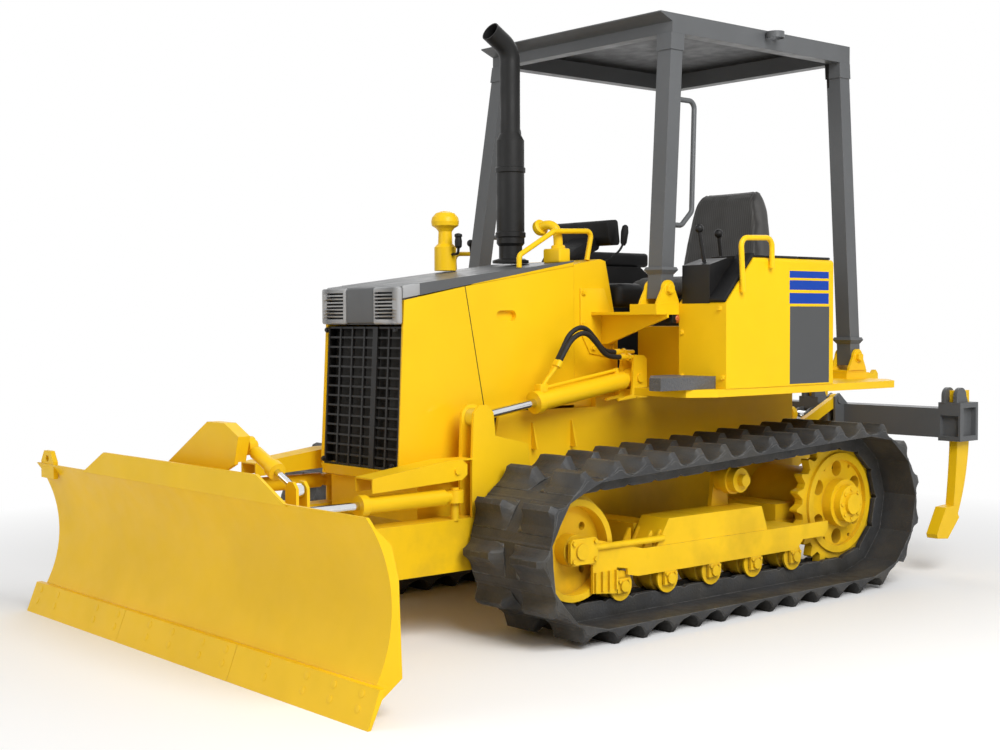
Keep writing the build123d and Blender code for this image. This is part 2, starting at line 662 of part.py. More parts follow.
def radiator_grille():
    """Square mesh: thin bars in a frame, with one thick upright."""
    half = GRILLE_WIDTH / 2 - CLEAR
    height = GRILLE_TOP - GRILLE_BOTTOM - 2
    bars = None
    columns = 6
    rows = 14
    for index in range(columns + 1):
        x = -half + 5 + index * (2 * half - 10) / columns
        bar = block(x - 5, x + 5, 0, 12, 0, height)
        bars = bar if bars is None else bars + bar
    for index in range(rows + 1):
        z = 4 + index * (height - 8) / rows
        bars += block(-half, half, 2, 10, z - 4, z + 4)
    bars += block(60, 92, -2, 14, 0, height)
    lean = degrees(atan2(GRILLE_LEAN, height))
    return Pos(0, HOOD_FRONT + 6, GRILLE_BOTTOM + 2) * Rotation(-lean, 0, 0) * bars


def lamp_panel():
    """The pale mask with a louvred lamp each side of a dark centre."""
    top = [(grille_y(GRILLE_TOP) + 2, GRILLE_TOP + 8), (grille_y(LAMP_TOP) - 6, LAMP_TOP),
           (HOOD_FRONT + 110, hood_top_z(HOOD_FRONT + 110)), (HOOD_FRONT + 110, LAMP_TOP - 60),
           (HOOD_FRONT + 60, GRILLE_TOP + 8)]
    return side_plate(top, -GRILLE_WIDTH / 2 + CLEAR, GRILLE_WIDTH / 2 - CLEAR)


def hood_top():
    """Dark cover plate over the engine with turned-down edges."""
    front = HOOD_FRONT + 110 + CLEAR
    rear = COWL_FRONT - SEAM_GAP
    cover = side_plate([(front, hood_top_z(front) - SHEET), (front, hood_top_z(front)), (rear, hood_top_z(rear)),
                        (rear, hood_top_z(rear) - SHEET)], -HOOD_HALF, HOOD_HALF)
    lip = side_plate([(front, panel_top_z(front) + 1), (front, hood_top_z(front)),
                      (rear, hood_top_z(rear)), (rear, hood_top_z(rear) - SHEET)],
                     HOOD_HALF - SHEET, HOOD_HALF)
    return cover + lip + mirrored(lip)


def side_cover(side):
    """The engine's lift-off side panel with its recessed grip."""
    outline = [(SEAM_TOP_Y, panel_top_z(SEAM_TOP_Y)), (COWL_FRONT - SEAM_GAP, panel_top_z(COWL_FRONT) - 8),
               (COWL_FRONT - SEAM_GAP, PANEL_BOTTOM_REAR), (SEAM_BOTTOM_Y, PANEL_BOTTOM_REAR)]
    panel = side_plate(outline, HOOD_HALF - SHEET, HOOD_HALF)
    grip = Plane.YZ.offset(HOOD_HALF - 24) * Pos(GRIP_Y, GRIP_Z) * SlotOverall(GRIP_LENGTH, GRIP_HEIGHT)
    cup = Plane.YZ.offset(HOOD_HALF - 28) * Pos(GRIP_Y, GRIP_Z) * SlotOverall(GRIP_LENGTH + 10, GRIP_HEIGHT + 10)
    panel += extrude(cup, amount=24)
    panel -= extrude(grip, amount=30)
    return panel if side > 0 else mirrored(panel)


def cowl():
    """The fixed rear of the enclosure, which carries the dash."""
    outline = [(COWL_FRONT, HULL_TOP + CLEAR), (COWL_FRONT, panel_top_z(COWL_FRONT)),
               (COWL_REAR - 46, panel_top_z(COWL_REAR - 46)), (COWL_REAR - 14, panel_top_z(COWL_REAR) - 16),
               (COWL_REAR + 60, PANEL_BOTTOM_REAR + 300), (COWL_REAR + 60, DECK_Z + DECK_THICK + CLEAR),
               (CASE_FRONT - CLEAR, DECK_Z + DECK_THICK + CLEAR), (CASE_FRONT - CLEAR, HULL_TOP + CLEAR)]
    shell = side_plate(outline, -HOOD_HALF, HOOD_HALF)
    inner = [(COWL_FRONT - 5, HULL_TOP - 5), (COWL_FRONT - 5, panel_top_z(COWL_FRONT) - SHEET - 6),
             (COWL_REAR - 50, panel_top_z(COWL_REAR) - SHEET - 10),
             (COWL_REAR + 60 - SHEET, PANEL_BOTTOM_REAR + 300 - SHEET),
             (COWL_REAR + 60 - SHEET, DECK_Z + DECK_THICK + SHEET + CLEAR),
             (CASE_FRONT - CLEAR - SHEET, DECK_Z + DECK_THICK + SHEET + CLEAR),
             (CASE_FRONT - CLEAR - SHEET, HULL_TOP - 5)]
    return shell - side_plate(inner, -HOOD_HALF + SHEET, HOOD_HALF - SHEET)


def exhaust_stack():
    """Muffler with clamp rings, a narrower pipe and a mouth that bends forward."""
    y = -285
    foot = hood_top_z(y + 78) + CLEAR
    lower = [(0, foot), (78, foot), (78, foot + 12), (50, foot + 20), (50, foot + 72), (60, foot + 84),
             (60, foot + 108), (65, foot + 112), (65, foot + 130), (60, foot + 134), (60, 1846), (65, 1850), (65, 1868),
             (60, 1872), (60, 1985), (43, 2016), (43, 2240), (0, 2240)]
    body = revolve(Plane.XZ * make_face(Polyline(*lower, close=True)), Axis.Z)
    body = Pos(0, y, 0) * body
    path = FilletPolyline((0, y, 2230), (0, y, 2370), (0, y - 110, 2436), radius=90)
    start = Plane(origin=path @ 0, z_dir=path % 0)
    pipe = sweep(start * Circle(43), path=path)
    return body + (pipe - sweep(start * Circle(39), path=path))


def precleaner():
    """Mushroom air intake: a foot, a narrow neck and a domed cap."""
    x, y = -183, -497
    foot = hood_top_z(y + 47) + CLEAR
    section = [(0, foot), (47, foot), (47, foot + 100), (31, foot + 116), (29, foot + 168), (40, foot + 182),
               (57, foot + 192), (60, foot + 210), (56, foot + 228), (40, foot + 246), (18, foot + 254), (0, foot + 256)]
    body = revolve(Plane.XZ * make_face(Polyline(*section, close=True)), Axis.Z)
    return Pos(x, y, 0) * body


# Operator's place

def deck():
    """Floor, the raised floor beside the footwell, the side boxes' ledges and the rear posts' beam."""
    top = DECK_Z + DECK_THICK
    behind_rams = LIFT_BASE_Y + 120
    plate = block(-BOX_INNER + CLEAR, BOX_INNER - CLEAR, behind_rams, HULL_REAR, DECK_Z, top)
    plate += block(-HULL_HALF, HULL_HALF, CASE_FRONT, behind_rams + 5, DECK_Z, top)
    plate += block(-FOOT_BEAM_HALF, FOOT_BEAM_HALF, REAR_POST_FOOT_Y - 80, REAR_POST_FOOT_Y + 95,
                   DECK_Z, REAR_BASE_TOP - EAR_THICK)
    ledge = plan_plate([(BOX_INNER - 100, LEDGE_FRONT), (BOX_OUTER - 70, LEDGE_FRONT), (BOX_OUTER - 4, LEDGE_FRONT + 110),
                        (BOX_OUTER - 4, 1230), (BOX_OUTER - 120, 1354), (BOX_INNER - 100, 1354)],
                       BOX_BOTTOM - LEDGE_DEPTH, BOX_BOTTOM - CLEAR)
    riser = side_plate([(behind_rams, DECK_Z), (behind_rams, RISER_TOP), (480 - CLEAR, RISER_TOP),
                        (480 - CLEAR, RISER_TOP - SHEET), (behind_rams + SHEET, RISER_TOP - SHEET), (behind_rams + SHEET, DECK_Z)],
                       FOOTWELL_HALF, BOX_INNER - CLEAR)
    riser += block(FOOTWELL_HALF, FOOTWELL_HALF + SHEET, behind_rams, 480 - CLEAR, DECK_Z, RISER_TOP)
    hook = side_plate([(REAR_POST_FOOT_Y + 90, DECK_Z), (1451, DECK_Z), (1451, 960), (1434, 978), (1414, 960),
                       (REAR_POST_FOOT_Y + 90, REAR_BASE_TOP - 14)], FOOT_BEAM_HALF - 24, FOOT_BEAM_HALF)
    half = ledge + riser + hook
    return plate + half + mirrored(half)


def step(side):
    """The folded tread in front of a side box."""
    outline = [(STEP_OUTER - 61, STEP_FRONT), (STEP_OUTER, STEP_FRONT), (STEP_OUTER, BOX_FRONT - CLEAR),
               (BOX_INNER - 40, BOX_FRONT - CLEAR), (BOX_INNER - 40, LEDGE_FRONT + 30), (STEP_OUTER - 110, STEP_FRONT + 60)]
    body = plan_plate(outline, BOX_BOTTOM, BOX_BOTTOM + STEP_HEIGHT)
    inside = offset(make_face(Polyline(*outline, close=True)), amount=-SHEET)
    body -= extrude(Plane.XY.offset(BOX_BOTTOM) * inside, amount=STEP_HEIGHT - SHEET)
    return body if side > 0 else mirrored(body)


def side_box(side):
    """Hollow tank box with a slanted front edge."""
    outline = [(BOX_FRONT, BOX_BOTTOM), (BOX_FRONT, BOX_TOP - 188), (BOX_FRONT + 175, BOX_TOP),
               (BOX_REAR, BOX_TOP), (BOX_REAR, BOX_BOTTOM)]
    body = side_plate(outline, BOX_INNER, BOX_OUTER)
    body = fillet(body.edges().filter_by(Axis.Y).sort_by(Axis.Z)[-2:], 18)
    inside = offset(make_face(Polyline(*outline, close=True)), amount=-BOX_WALL)
    inside = extrude(Plane.YZ.offset(BOX_INNER + BOX_WALL) * inside, amount=BOX_OUTER - BOX_INNER - 2 * BOX_WALL)
    body -= fillet(inside.edges().filter_by(Axis.Y).sort_by(Axis.Z)[-2:], 18)
    return body if side > 0 else mirrored(body)


def seat():
    """Seat base, cushion and a leaning back."""
    top = DECK_Z + DECK_THICK
    base = block(-190, 190, SEAT_Y - 270, SEAT_Y + 200, top, SEAT_Z - 20)
    base -= block(-190 + SHEET, 190 - SHEET, SEAT_Y - 270 + SHEET, SEAT_Y + 200 - SHEET, top - 1, SEAT_Z - 20)
    half = SEAT_WIDTH / 2
    pan = side_plate([(SEAT_Y - 290, SEAT_Z - 20), (SEAT_Y - 300, SEAT_Z + 60), (SEAT_Y - 250, SEAT_Z + 90),
                      (SEAT_Y + 120, SEAT_Z + 60), (SEAT_Y + 230, SEAT_Z + 60), (SEAT_Y + 230, SEAT_Z - 20)],
                     -half, half)
    back = side_plate([(SEAT_Y + 110, SEAT_Z + 40), (SEAT_Y + 190, SEAT_BACK_TOP - 90),
                       (SEAT_Y + 215, SEAT_BACK_TOP), (SEAT_Y + 270, SEAT_BACK_TOP - 20),
                       (SEAT_Y + 262, SEAT_Z + 120), (SEAT_Y + 230, SEAT_Z + 20)], -half, half)
    return base + pan + back


def consoles():
    """The control consoles beside the seat, each with a lever."""
    top = DECK_Z + DECK_THICK
    pieces = []
    for side in (-1, 1):
        body = side_plate([(480, top), (480, 1400), (560, 1478), (860, 1478), (980, 1400), (980, top)], 330, 520)
        body -= side_plate([(484, top - 1), (484, 1398), (562, 1474), (858, 1474), (976, 1398), (976, top - 1)], 334, 516)
        body += rod((420, 600, 1470), (425, 575, 1590), 9) + Pos(425, 573, 1600) * Sphere(20)
        pod = side_plate([(BOX_FRONT, BOX_TOP - 187.5), (BOX_FRONT, 1440), (BOX_FRONT + 110, 1470),
                          (BOX_FRONT + 174, BOX_TOP + 0.5)], BOX_INNER + 18, BOX_INNER + 166)
        pod += rod((BOX_INNER + 90, 125, 1445), (BOX_INNER + 84, 100, 1580), 8)
        pod += Pos(BOX_INNER + 84, 99, 1590) * Sphere(18)
        pieces += [body, pod] if side > 0 else [mirrored(body), mirrored(pod)]
    return solids_of(*pieces)


def dash():
    """Black instrument binnacle standing on the cowl."""
    front, rear = COWL_FRONT + 30, COWL_REAR - 48
    outline = [(front, panel_top_z(front) + CLEAR), (front + 10, panel_top_z(front) + 50), (front + 90, 1645),
               (front + 170, 1660), (rear + 150, 1600), (rear + 160, 1510), (rear + 70, 1495),
               (rear, panel_top_z(rear) + CLEAR)]
    return side_plate(outline, -170, 170)


def canopy_roof():
    """Roof pan with a turned-down border, open underneath, a visor and a hoop for a lamp's pole."""
    half = CANOPY_WIDTH / 2
    bottom = CANOPY_TOP - CANOPY_DEPTH
    beam = CANOPY_FRONT + VISOR_REACH
    border = CANOPY_BORDER
    body = block(-half, half, beam, CANOPY_REAR, bottom, CANOPY_TOP)
    body -= block(-half + border, half - border, beam + border, CANOPY_REAR - border, bottom - 1, CANOPY_TOP - SHEET)
    body += side_plate([(beam + 5, CANOPY_TOP), (CANOPY_FRONT, CANOPY_TOP), (CANOPY_FRONT, CANOPY_TOP - 5),
                        (beam + 5, CANOPY_TOP - 36)], -half, half)
    hoop_x, hoop_y = half + 34, 738
    hoop = rod((hoop_x, hoop_y, bottom + 44), (hoop_x, hoop_y, bottom + 72), 40)
    hoop -= rod((hoop_x, hoop_y, bottom + 40), (hoop_x, hoop_y, bottom + 80), 35)
    return body + hoop


POST_TOP_Z = CANOPY_TOP - CANOPY_DEPTH
POST_TOP_X = CANOPY_WIDTH / 2 - POST_X / 2 - 4


def post_x(z):
    """How far out a post stands at a height."""
    return POST_TOP_X + SPLAY * (POST_TOP_Z - z)


def post(foot_y, top_y, foot_z):
    """A rectangular tube that splays outward, with a flared collar over its foot and a sleeve at its top."""
    def section(z, grow):
        y = foot_y + (top_y - foot_y) * (z - foot_z) / (POST_TOP_Z - foot_z)
        return Plane.XY.offset(z) * Pos(post_x(z), y) * Rectangle(POST_X + grow, POST_Y + grow)

    collar = foot_z + COLLAR_RISE
    flare = collar + 0.6 * COLLAR_HEIGHT
    tube = loft([section(foot_z, 0), section(POST_TOP_Z, 0)])
    tube += loft([section(collar, 2), section(flare, 26)]) + loft([section(flare, 26), section(collar + COLLAR_HEIGHT, 16)])
    tube += loft([section(POST_TOP_Z - SLEEVE_HEIGHT, 8), section(POST_TOP_Z, 8)])
    return tube - loft([section(foot_z + 12, -12), section(POST_TOP_Z, -12)])


def canopy_posts():
    front = post(FRONT_POST_FOOT_Y, FRONT_POST_TOP_Y, FRONT_BASE_TOP + FOOT_LIFT)
    rear = post(REAR_POST_FOOT_Y, REAR_POST_TOP_Y, REAR_BASE_TOP + FOOT_LIFT)
    return solids_of(front, mirrored(front), rear, mirrored(rear))


def post_clevis(y, base_top):
    """Two round-topped ears, bolted through the foot of a post."""
    foot_z = base_top + FOOT_LIFT
    bolt_z = base_top + EAR_RISE
    lean = SPLAY * (COLLAR_RISE + CLEAR)
    outer = post_x(foot_z) + POST_X / 2 + CLEAR
    inner = post_x(foot_z) - POST_X / 2 - lean - CLEAR - EAR_THICK
    outline = [(y - 70, base_top - 1), (y - 64, base_top + 14), (y - 36, bolt_z), (y + 36, bolt_z),
               (y + 60, base_top + 14), (y + 64, base_top - 1)]
    ears = None
    for x0 in (inner, outer):
        ear = side_plate(outline, x0, x0 + EAR_THICK) + bar_x(y, bolt_z, x0, x0 + EAR_THICK, 36)
        ears = ear if ears is None else ears + ear
    ears += bar_x(y, bolt_z, inner - 9, inner + 3, 13) + bar_x(y, bolt_z, outer + 9, outer + EAR_THICK + 9, 13)
    return ears


def post_mounts():
    """Shelves with gussets that carry the front posts out from the cowl, and the ears of all four posts."""
    foot_x = post_x(FRONT_BASE_TOP + FOOT_LIFT)
    y = FRONT_POST_FOOT_Y
    shelf_top = FRONT_BASE_TOP - 32
    shelf = block(HOOD_HALF + CLEAR, BOX_INNER - CLEAR, y - 78, y + 68, shelf_top - EAR_THICK, shelf_top)
    shelf += front_plate([(HOOD_HALF + CLEAR, shelf_top - 6), (foot_x + 58, shelf_top - 6), (foot_x + 58, shelf_top - 25),
                          (HOOD_HALF + 44, shelf_top - 136), (HOOD_HALF + CLEAR, shelf_top - 136)], y - 20, y - 8)
    shelf += block(foot_x - 96, BOX_INNER - CLEAR, y - 78, y + 78, shelf_top - 1, FRONT_BASE_TOP)
    shelf += post_clevis(y, FRONT_BASE_TOP)
    rear = block(post_x(REAR_BASE_TOP) - 80, FOOT_BEAM_HALF, REAR_POST_FOOT_Y - 74, REAR_POST_FOOT_Y + 74,
                 REAR_BASE_TOP - EAR_THICK + CLEAR, REAR_BASE_TOP)
    rear += post_clevis(REAR_POST_FOOT_Y, REAR_BASE_TOP)
    return solids_of(shelf, mirrored(shelf), rear, mirrored(rear))


def handrails():
    """Yellow grab handles: one beside the dash and one on each side box."""
    hood_x, hood_y = 236, -446
    foot = hood_top_z(hood_y) + 0.2 * RAIL_R
    end_y = -60
    hood = bent_tube([(hood_x, hood_y, foot), (hood_x, hood_y, foot + 50), (hood_x, -250, 1590), (hood_x, -30, 1598),
                      (hood_x, end_y, panel_top_z(end_y) + 0.4 * RAIL_R)], RAIL_R, 24)
    x = BOX_OUTER + RAIL_R + 2
    handle = bent_tube([(x, 158, 1328), (x, 143, 1546), (x, 339, 1552), (x, 339, 1428)], RAIL_R, 36)
    for y, z in ((158, 1336), (339, 1436)):
        handle += rod((BOX_OUTER + CLEAR, y, z), (x, y, z), RAIL_R - 2)
    return solids_of(hood, handle, mirrored(handle))


def post_rails():
    """Grab rails behind the front posts."""
    foot_z = FRONT_BASE_TOP + FOOT_LIFT
    lean = (FRONT_POST_TOP_Y - FRONT_POST_FOOT_Y) / (POST_TOP_Z - foot_z)

    def behind(z):
        return FRONT_POST_FOOT_Y + POST_Y / 2 + lean * (z - foot_z) + lean * RAIL_R + CLEAR

    high, low = 2140, 1612
    rail = bent_tube([(post_x(high) + 10, behind(high), high), (post_x(high) + 10, behind(high) + 114, high),
                      (post_x(low) + 10, behind(low) + 128, low + 60), (post_x(low) + 10, behind(low) + 64, low),
                      (post_x(low) + 10, behind(low), low)], RAIL_R, 30)
    return solids_of(rail, mirrored(rail))


# Push frame and blade

def c_frame():
    """Two box arms, the cross box and nose, the ears of the lift cylinders and the cylinder guards."""
    outer = ARM_INNER + ARM_WIDTH
    top = ARM_BOTTOM + ARM_HEIGHT
    eye_r = 72
    arm = side_plate([(TRUNNION_Y, TRUNNION_Z - eye_r), (TRUNNION_Y, TRUNNION_Z + eye_r),
                      (TRUNNION_Y - 260, top), (-1430, top), (-1430, ARM_BOTTOM), (TRUNNION_Y - 200, ARM_BOTTOM)],
                     ARM_INNER, outer)
    arm += bar_x(TRUNNION_Y, TRUNNION_Z, ARM_INNER, outer, eye_r)
    arm -= bar_x(TRUNNION_Y, TRUNNION_Z, ARM_INNER - 5, outer + 5, TRUNNION_R + CLEAR)
    ear_outline = [(LIFT_PIN_Y - 20, LIFT_PIN_Z + 50), (LIFT_PIN_Y - 50, LIFT_PIN_Z + 20), (LIFT_PIN_Y - 60, 640),
                   (LIFT_PIN_Y - 60, top - 5), (LIFT_PIN_Y + 250, top - 5), (LIFT_PIN_Y + 230, 730),
                   (LIFT_PIN_Y + 60, 770), (LIFT_PIN_Y + 50, LIFT_PIN_Z + 20), (LIFT_PIN_Y + 20, LIFT_PIN_Z + 50)]
    ear_in = LIFT_X - LIFT_EYE_HALF - PIN_GAP - EAR_THICK
    for x0 in (ear_in, LIFT_X + LIFT_EYE_HALF + PIN_GAP):
        arm += side_plate(ear_outline, x0, x0 + EAR_THICK)
    arm += cylinder_guard(ear_in)
    frame = arm + mirrored(arm)
    frame += block(-outer, outer, -1500, -1380, ARM_BOTTOM, top)
    frame += plan_plate([(-260, -1400), (260, -1400), (NOSE_R - 4, NOSE_Y), (-NOSE_R + 4, NOSE_Y)],
                        ARM_BOTTOM + 6, top - 6)
    frame += rod((0, NOSE_Y, ARM_BOTTOM), (0, NOSE_Y, top), NOSE_R)
    frame += rod((0, NOSE_Y, ARM_BOTTOM - 50), (0, NOSE_Y, top + 50), 30)
    for side in (-1, 1):
        seat_block = rod((side * ANGLE_X, ANGLE_BASE_Y, top - 5), (side * ANGLE_X, ANGLE_BASE_Y, ANGLE_BASE_Z + 34), 16)
        frame += seat_block
    return frame


def cylinder_guard(inner):
    """An open-ended channel over an angle cylinder, from the ears forward."""
    outer = ANGLE_X + 34
    cheek = [(GUARD_FRONT, 594), (GUARD_FRONT, 648), (-1000, 690), (-930, 690), (-905, 672), (-905, 632),
             (-930, 614), (-1000, 610)]
    guard = side_plate(cheek, outer - SHEET, outer)
    guard += side_plate(cheek, inner, inner + SHEET)
    guard += side_plate([(-906, 614), (-906, 684), (LIFT_PIN_Y - 50, 684), (LIFT_PIN_Y - 50, 614)], inner, inner + SHEET)
    guard += side_plate([(GUARD_FRONT, 648 - SHEET), (GUARD_FRONT, 648), (-1000, 690), (LIFT_PIN_Y - 50, 690),
                         (LIFT_PIN_Y - 50, 690 - SHEET), (-1000, 690 - SHEET)], inner, LIFT_X + LIFT_EYE_HALF + PIN_GAP + EAR_THICK)
    guard += side_plate([(GUARD_FRONT, 648 - SHEET), (GUARD_FRONT, 648), (-1000, 690), (-930, 690),
                         (-930, 690 - SHEET), (-1000, 690 - SHEET)], inner, outer)
    guard += bar_x(-954, 650, outer - 2, outer + 8, 14)
    return guard


def yoke():
    """Turns on the frame's nose and spreads to the angle cylinders; the blade tilts on its pin."""
    top = ARM_BOTTOM + ARM_HEIGHT
    body = block(-NOSE_R - 10, NOSE_R + 10, YOKE_EYE_Y - 20, NOSE_Y + 60, top + CLEAR, top + 46)
    body += block(-NOSE_R - 10, NOSE_R + 10, YOKE_EYE_Y - 20, NOSE_Y + 60, ARM_BOTTOM - 46, ARM_BOTTOM - CLEAR)
    body += block(-NOSE_R - 10, NOSE_R + 10, YOKE_EYE_Y - 34, NOSE_Y - NOSE_R - 6, ARM_BOTTOM - 46, top + 46)
    span = TILT_ANCHOR_X + 30
    low_ear = YOKE_EYE_Z - ANGLE_EYE_HALF - PIN_GAP - EAR_THICK
    high_ear = YOKE_EYE_Z + ANGLE_EYE_HALF + PIN_GAP
    body += plan_plate([(-span, YOKE_EYE_Y - 34), (span, YOKE_EYE_Y - 34), (span, YOKE_EYE_Y - 14),
                        (72, YOKE_EYE_Y + 10), (-72, YOKE_EYE_Y + 10), (-span, YOKE_EYE_Y - 14)], 440, low_ear + 1)
    body -= rod((0, NOSE_Y, ARM_BOTTOM - 60), (0, NOSE_Y, top + 60), 30 + CLEAR)
    body += rod((0, YOKE_EYE_Y - 34, TILT_Z), (0, -1790, TILT_Z), 44)
    for side in (-1, 1):
        bracket = block(ANGLE_X - 56, ANGLE_X - 44, YOKE_EYE_Y - 34, YOKE_EYE_Y + 40, low_ear, high_ear + EAR_THICK)
        for z0 in (low_ear, high_ear):
            bracket += plan_plate([(ANGLE_X - 56, YOKE_EYE_Y - 34), (ANGLE_X + 52, YOKE_EYE_Y - 34),
                                   (ANGLE_X + 52, YOKE_EYE_Y + 10), (ANGLE_X + 30, YOKE_EYE_Y + 40),
                                   (ANGLE_X - 56, YOKE_EYE_Y + 40)], z0, z0 + EAR_THICK)
        bracket += rod((ANGLE_X, YOKE_EYE_Y, high_ear + 4), (ANGLE_X, YOKE_EYE_Y, high_ear + EAR_THICK + 8), 26)
        body += bracket if side > 0 else mirrored(bracket)
    gap = TILT_EYE_HALF + PIN_GAP
    ear = [(TILT_ANCHOR_X - 34, high_ear + 4), (TILT_ANCHOR_X - 34, TILT_ANCHOR_Z + 10),
           (TILT_ANCHOR_X - 14, TILT_ANCHOR_Z + 32), (TILT_ANCHOR_X + 14, TILT_ANCHOR_Z + 32),
           (TILT_ANCHOR_X + 34, TILT_ANCHOR_Z + 10), (TILT_ANCHOR_X + 34, high_ear + 4)]
    for y0 in (TILT_Y - gap - EAR_THICK, TILT_Y + gap):
        body += front_plate(ear, y0, y0 + EAR_THICK)
    body += block(ANGLE_X + 40, TILT_ANCHOR_X + 34, TILT_Y - gap - EAR_THICK, TILT_Y + gap + EAR_THICK,
                  high_ear, high_ear + EAR_THICK)
    body += block(TILT_ANCHOR_X - 34, TILT_ANCHOR_X + 30, YOKE_EYE_Y - 34, YOKE_EYE_Y - 22, top + 40, high_ear + 4)
    return body


def blade_curve(offset):
    """The moldboard's hollow curve, moved back by an offset: foot, deepest point and tip."""
    return ((BLADE_FOOT_Y + offset, BLADE_FOOT_Z), (BLADE_DEEP_Y + offset, BLADE_DEEP_Z),
            (BLADE_TIP_Y + offset, BLADE_TIP_Z))


def moldboard(width):
    """The curved plate of the blade."""
    front = [(0, y, z) for y, z in blade_curve(0)]
    back = [(0, y, z) for y, z in blade_curve(BLADE_SKIN)]
    outline = [ThreePointArc(*front), Line(front[2], back[2]), ThreePointArc(back[2], back[1], back[0]),
               Line(back[0], front[0])]
    return extrude(make_face(outline), amount=width / 2, both=True, dir=(1, 0, 0))


def blade():
    """Moldboard with end plates, stiffeners, tilt socket and the horn of the tilt cylinder."""
    half = BLADE_WIDTH / 2
    body = moldboard(BLADE_WIDTH)
    front = [(0, y, z) for y, z in blade_curve(0)]
    rear = Polyline(front[2], (0, -1805, 537), (0, -1778, 430), (0, -1767, 124), (0, BLADE_FOOT_Y + 6, 60), front[0])
    end = extrude(make_face([ThreePointArc(*front), *rear.edges()]), amount=14, dir=(1, 0, 0))
    for x0 in (-half, half - 14):
        body += Pos(x0, 0, 0) * end
    lower = side_plate([(-1845, 124), (-1767, 124), (-1767, 250), (-1800, 250)], -half + 14, half - 14)
    upper = side_plate([(-1830, 520), (-1800, 440), (-1778, 440), (-1778, 480), (-1866, 600)], -half + 14, half - 14)
    body += lower + upper
    for x in (-760, -380, 380, 760):
        body += side_plate([(-1800, 240), (-1767, 240), (-1778, 450), (-1800, 450)], x - 8, x + 8)
    socket = rod((0, -1802, TILT_Z), (0, YOKE_EYE_Y - 36, TILT_Z), 78)
    socket += block(-120, 120, -1800, -1772, 240, 470)
    body += socket
    body -= rod((0, -1796, TILT_Z), (0, YOKE_EYE_Y, TILT_Z), 44 + CLEAR)
    horn = front_plate([(-330, 470), (-330, 640), (60, 858), (180, 858), (HORN_X + 70, HORN_Z + 40),
                        (HORN_X + 40, HORN_Z - 60), (60, 640), (60, 470)], -1796, -1780)
    horn += front_plate([(-60, 700), (60, 858), (180, 858), (HORN_X + 70, HORN_Z + 40),
                         (HORN_X + 40, HORN_Z - 52), (HORN_X - 60, HORN_Z - 60)], -1780, TILT_Y - 36)
    body += horn
    body += rod((HORN_X, TILT_Y - 36, HORN_Z), (HORN_X, TILT_Y + 30, HORN_Z), 18)
    lug = front_plate([(LUG_X - 60, BLADE_TIP_Z - 60), (LUG_X - 60, BLADE_TIP_Z + 10), (LUG_X - 30, BLADE_TIP_Z + 54),
                       (LUG_X + 30, BLADE_TIP_Z + 54), (LUG_X + 60, BLADE_TIP_Z + 10), (LUG_X + 60, BLADE_TIP_Z - 60)],
                      BLADE_TIP_Y + BLADE_SKIN - 6, BLADE_TIP_Y + BLADE_SKIN + 14)
    body += lug
    hole_z = BLADE_TIP_Z + LUG_HOLE_RISE
    body -= rod((LUG_X, BLADE_TIP_Y - 10, hole_z), (LUG_X, BLADE_TIP_Y + 60, hole_z), LUG_HOLE_R)
    spill = SPILL_WIDTH / 2
    body += front_plate([(-spill - 185, BLADE_TIP_Z - 8), (-spill, BLADE_TIP_Z + SPILL_HEIGHT),
                         (spill, BLADE_TIP_Z + SPILL_HEIGHT), (spill + 185, BLADE_TIP_Z - 8)],
                        BLADE_TIP_Y, BLADE_TIP_Y + BLADE_SKIN)
    return body


def cutting_edge():
    """Three bolted lengths of edge along the foot of the moldboard."""
    half = EDGE_WIDTH / 2
    third = EDGE_WIDTH / 3
    section = [(FRONT_END, 0), (FRONT_END + 12, 0), (BLADE_FOOT_Y - CLEAR, BLADE_FOOT_Z - 4),
               (BLADE_FOOT_Y - CLEAR, BLADE_FOOT_Z), (BLADE_FOOT_Y - EDGE_THICK - 4, BLADE_FOOT_Z)]
    pieces = [side_plate(section, -half + index * third + 1, -half + (index + 1) * third - 1) for index in range(3)]
    return solids_of(*pieces)


# Hydraulic cylinders

def cylinder_barrel(base, eye, pin_axis, barrel_r, rod_r, pin_r, length, eye_half, eye_r):
    """A barrel from the eye at its base towards the rod's eye, bored for the rod."""
    base, eye = Vector(*base), Vector(*eye)
    along = (eye - base).normalized()
    side = Vector(*pin_axis)
    body = rod(base + along * (eye_r + 20), base + along * length, barrel_r)
    body += rod(base, base + along * (eye_r + 22), min(eye_half, barrel_r) - 2)
    body += rod(base + along * (length - 34), base + along * length, barrel_r + 8)
    body += rod(base - side * eye_half, base + side * eye_half, eye_r)
    body -= rod(base - side * (eye_half + 5), base + side * (eye_half + 5), pin_r + CLEAR)
    body -= rod(base + along * (eye_r + 28), base + along * (length + 5), rod_r + CLEAR)
    return body


def cylinder_rod(base, eye, pin_axis, rod_r, reach, eye_half, eye_r):
    """The rod with its eye and the pin through it."""
    base, eye = Vector(*base), Vector(*eye)
    along = (eye - base).normalized()
    side = Vector(*pin_axis)
    body = rod(eye - along * reach, eye, rod_r)
    body += rod(eye - side * eye_half, eye + side * eye_half, eye_r)
    return body


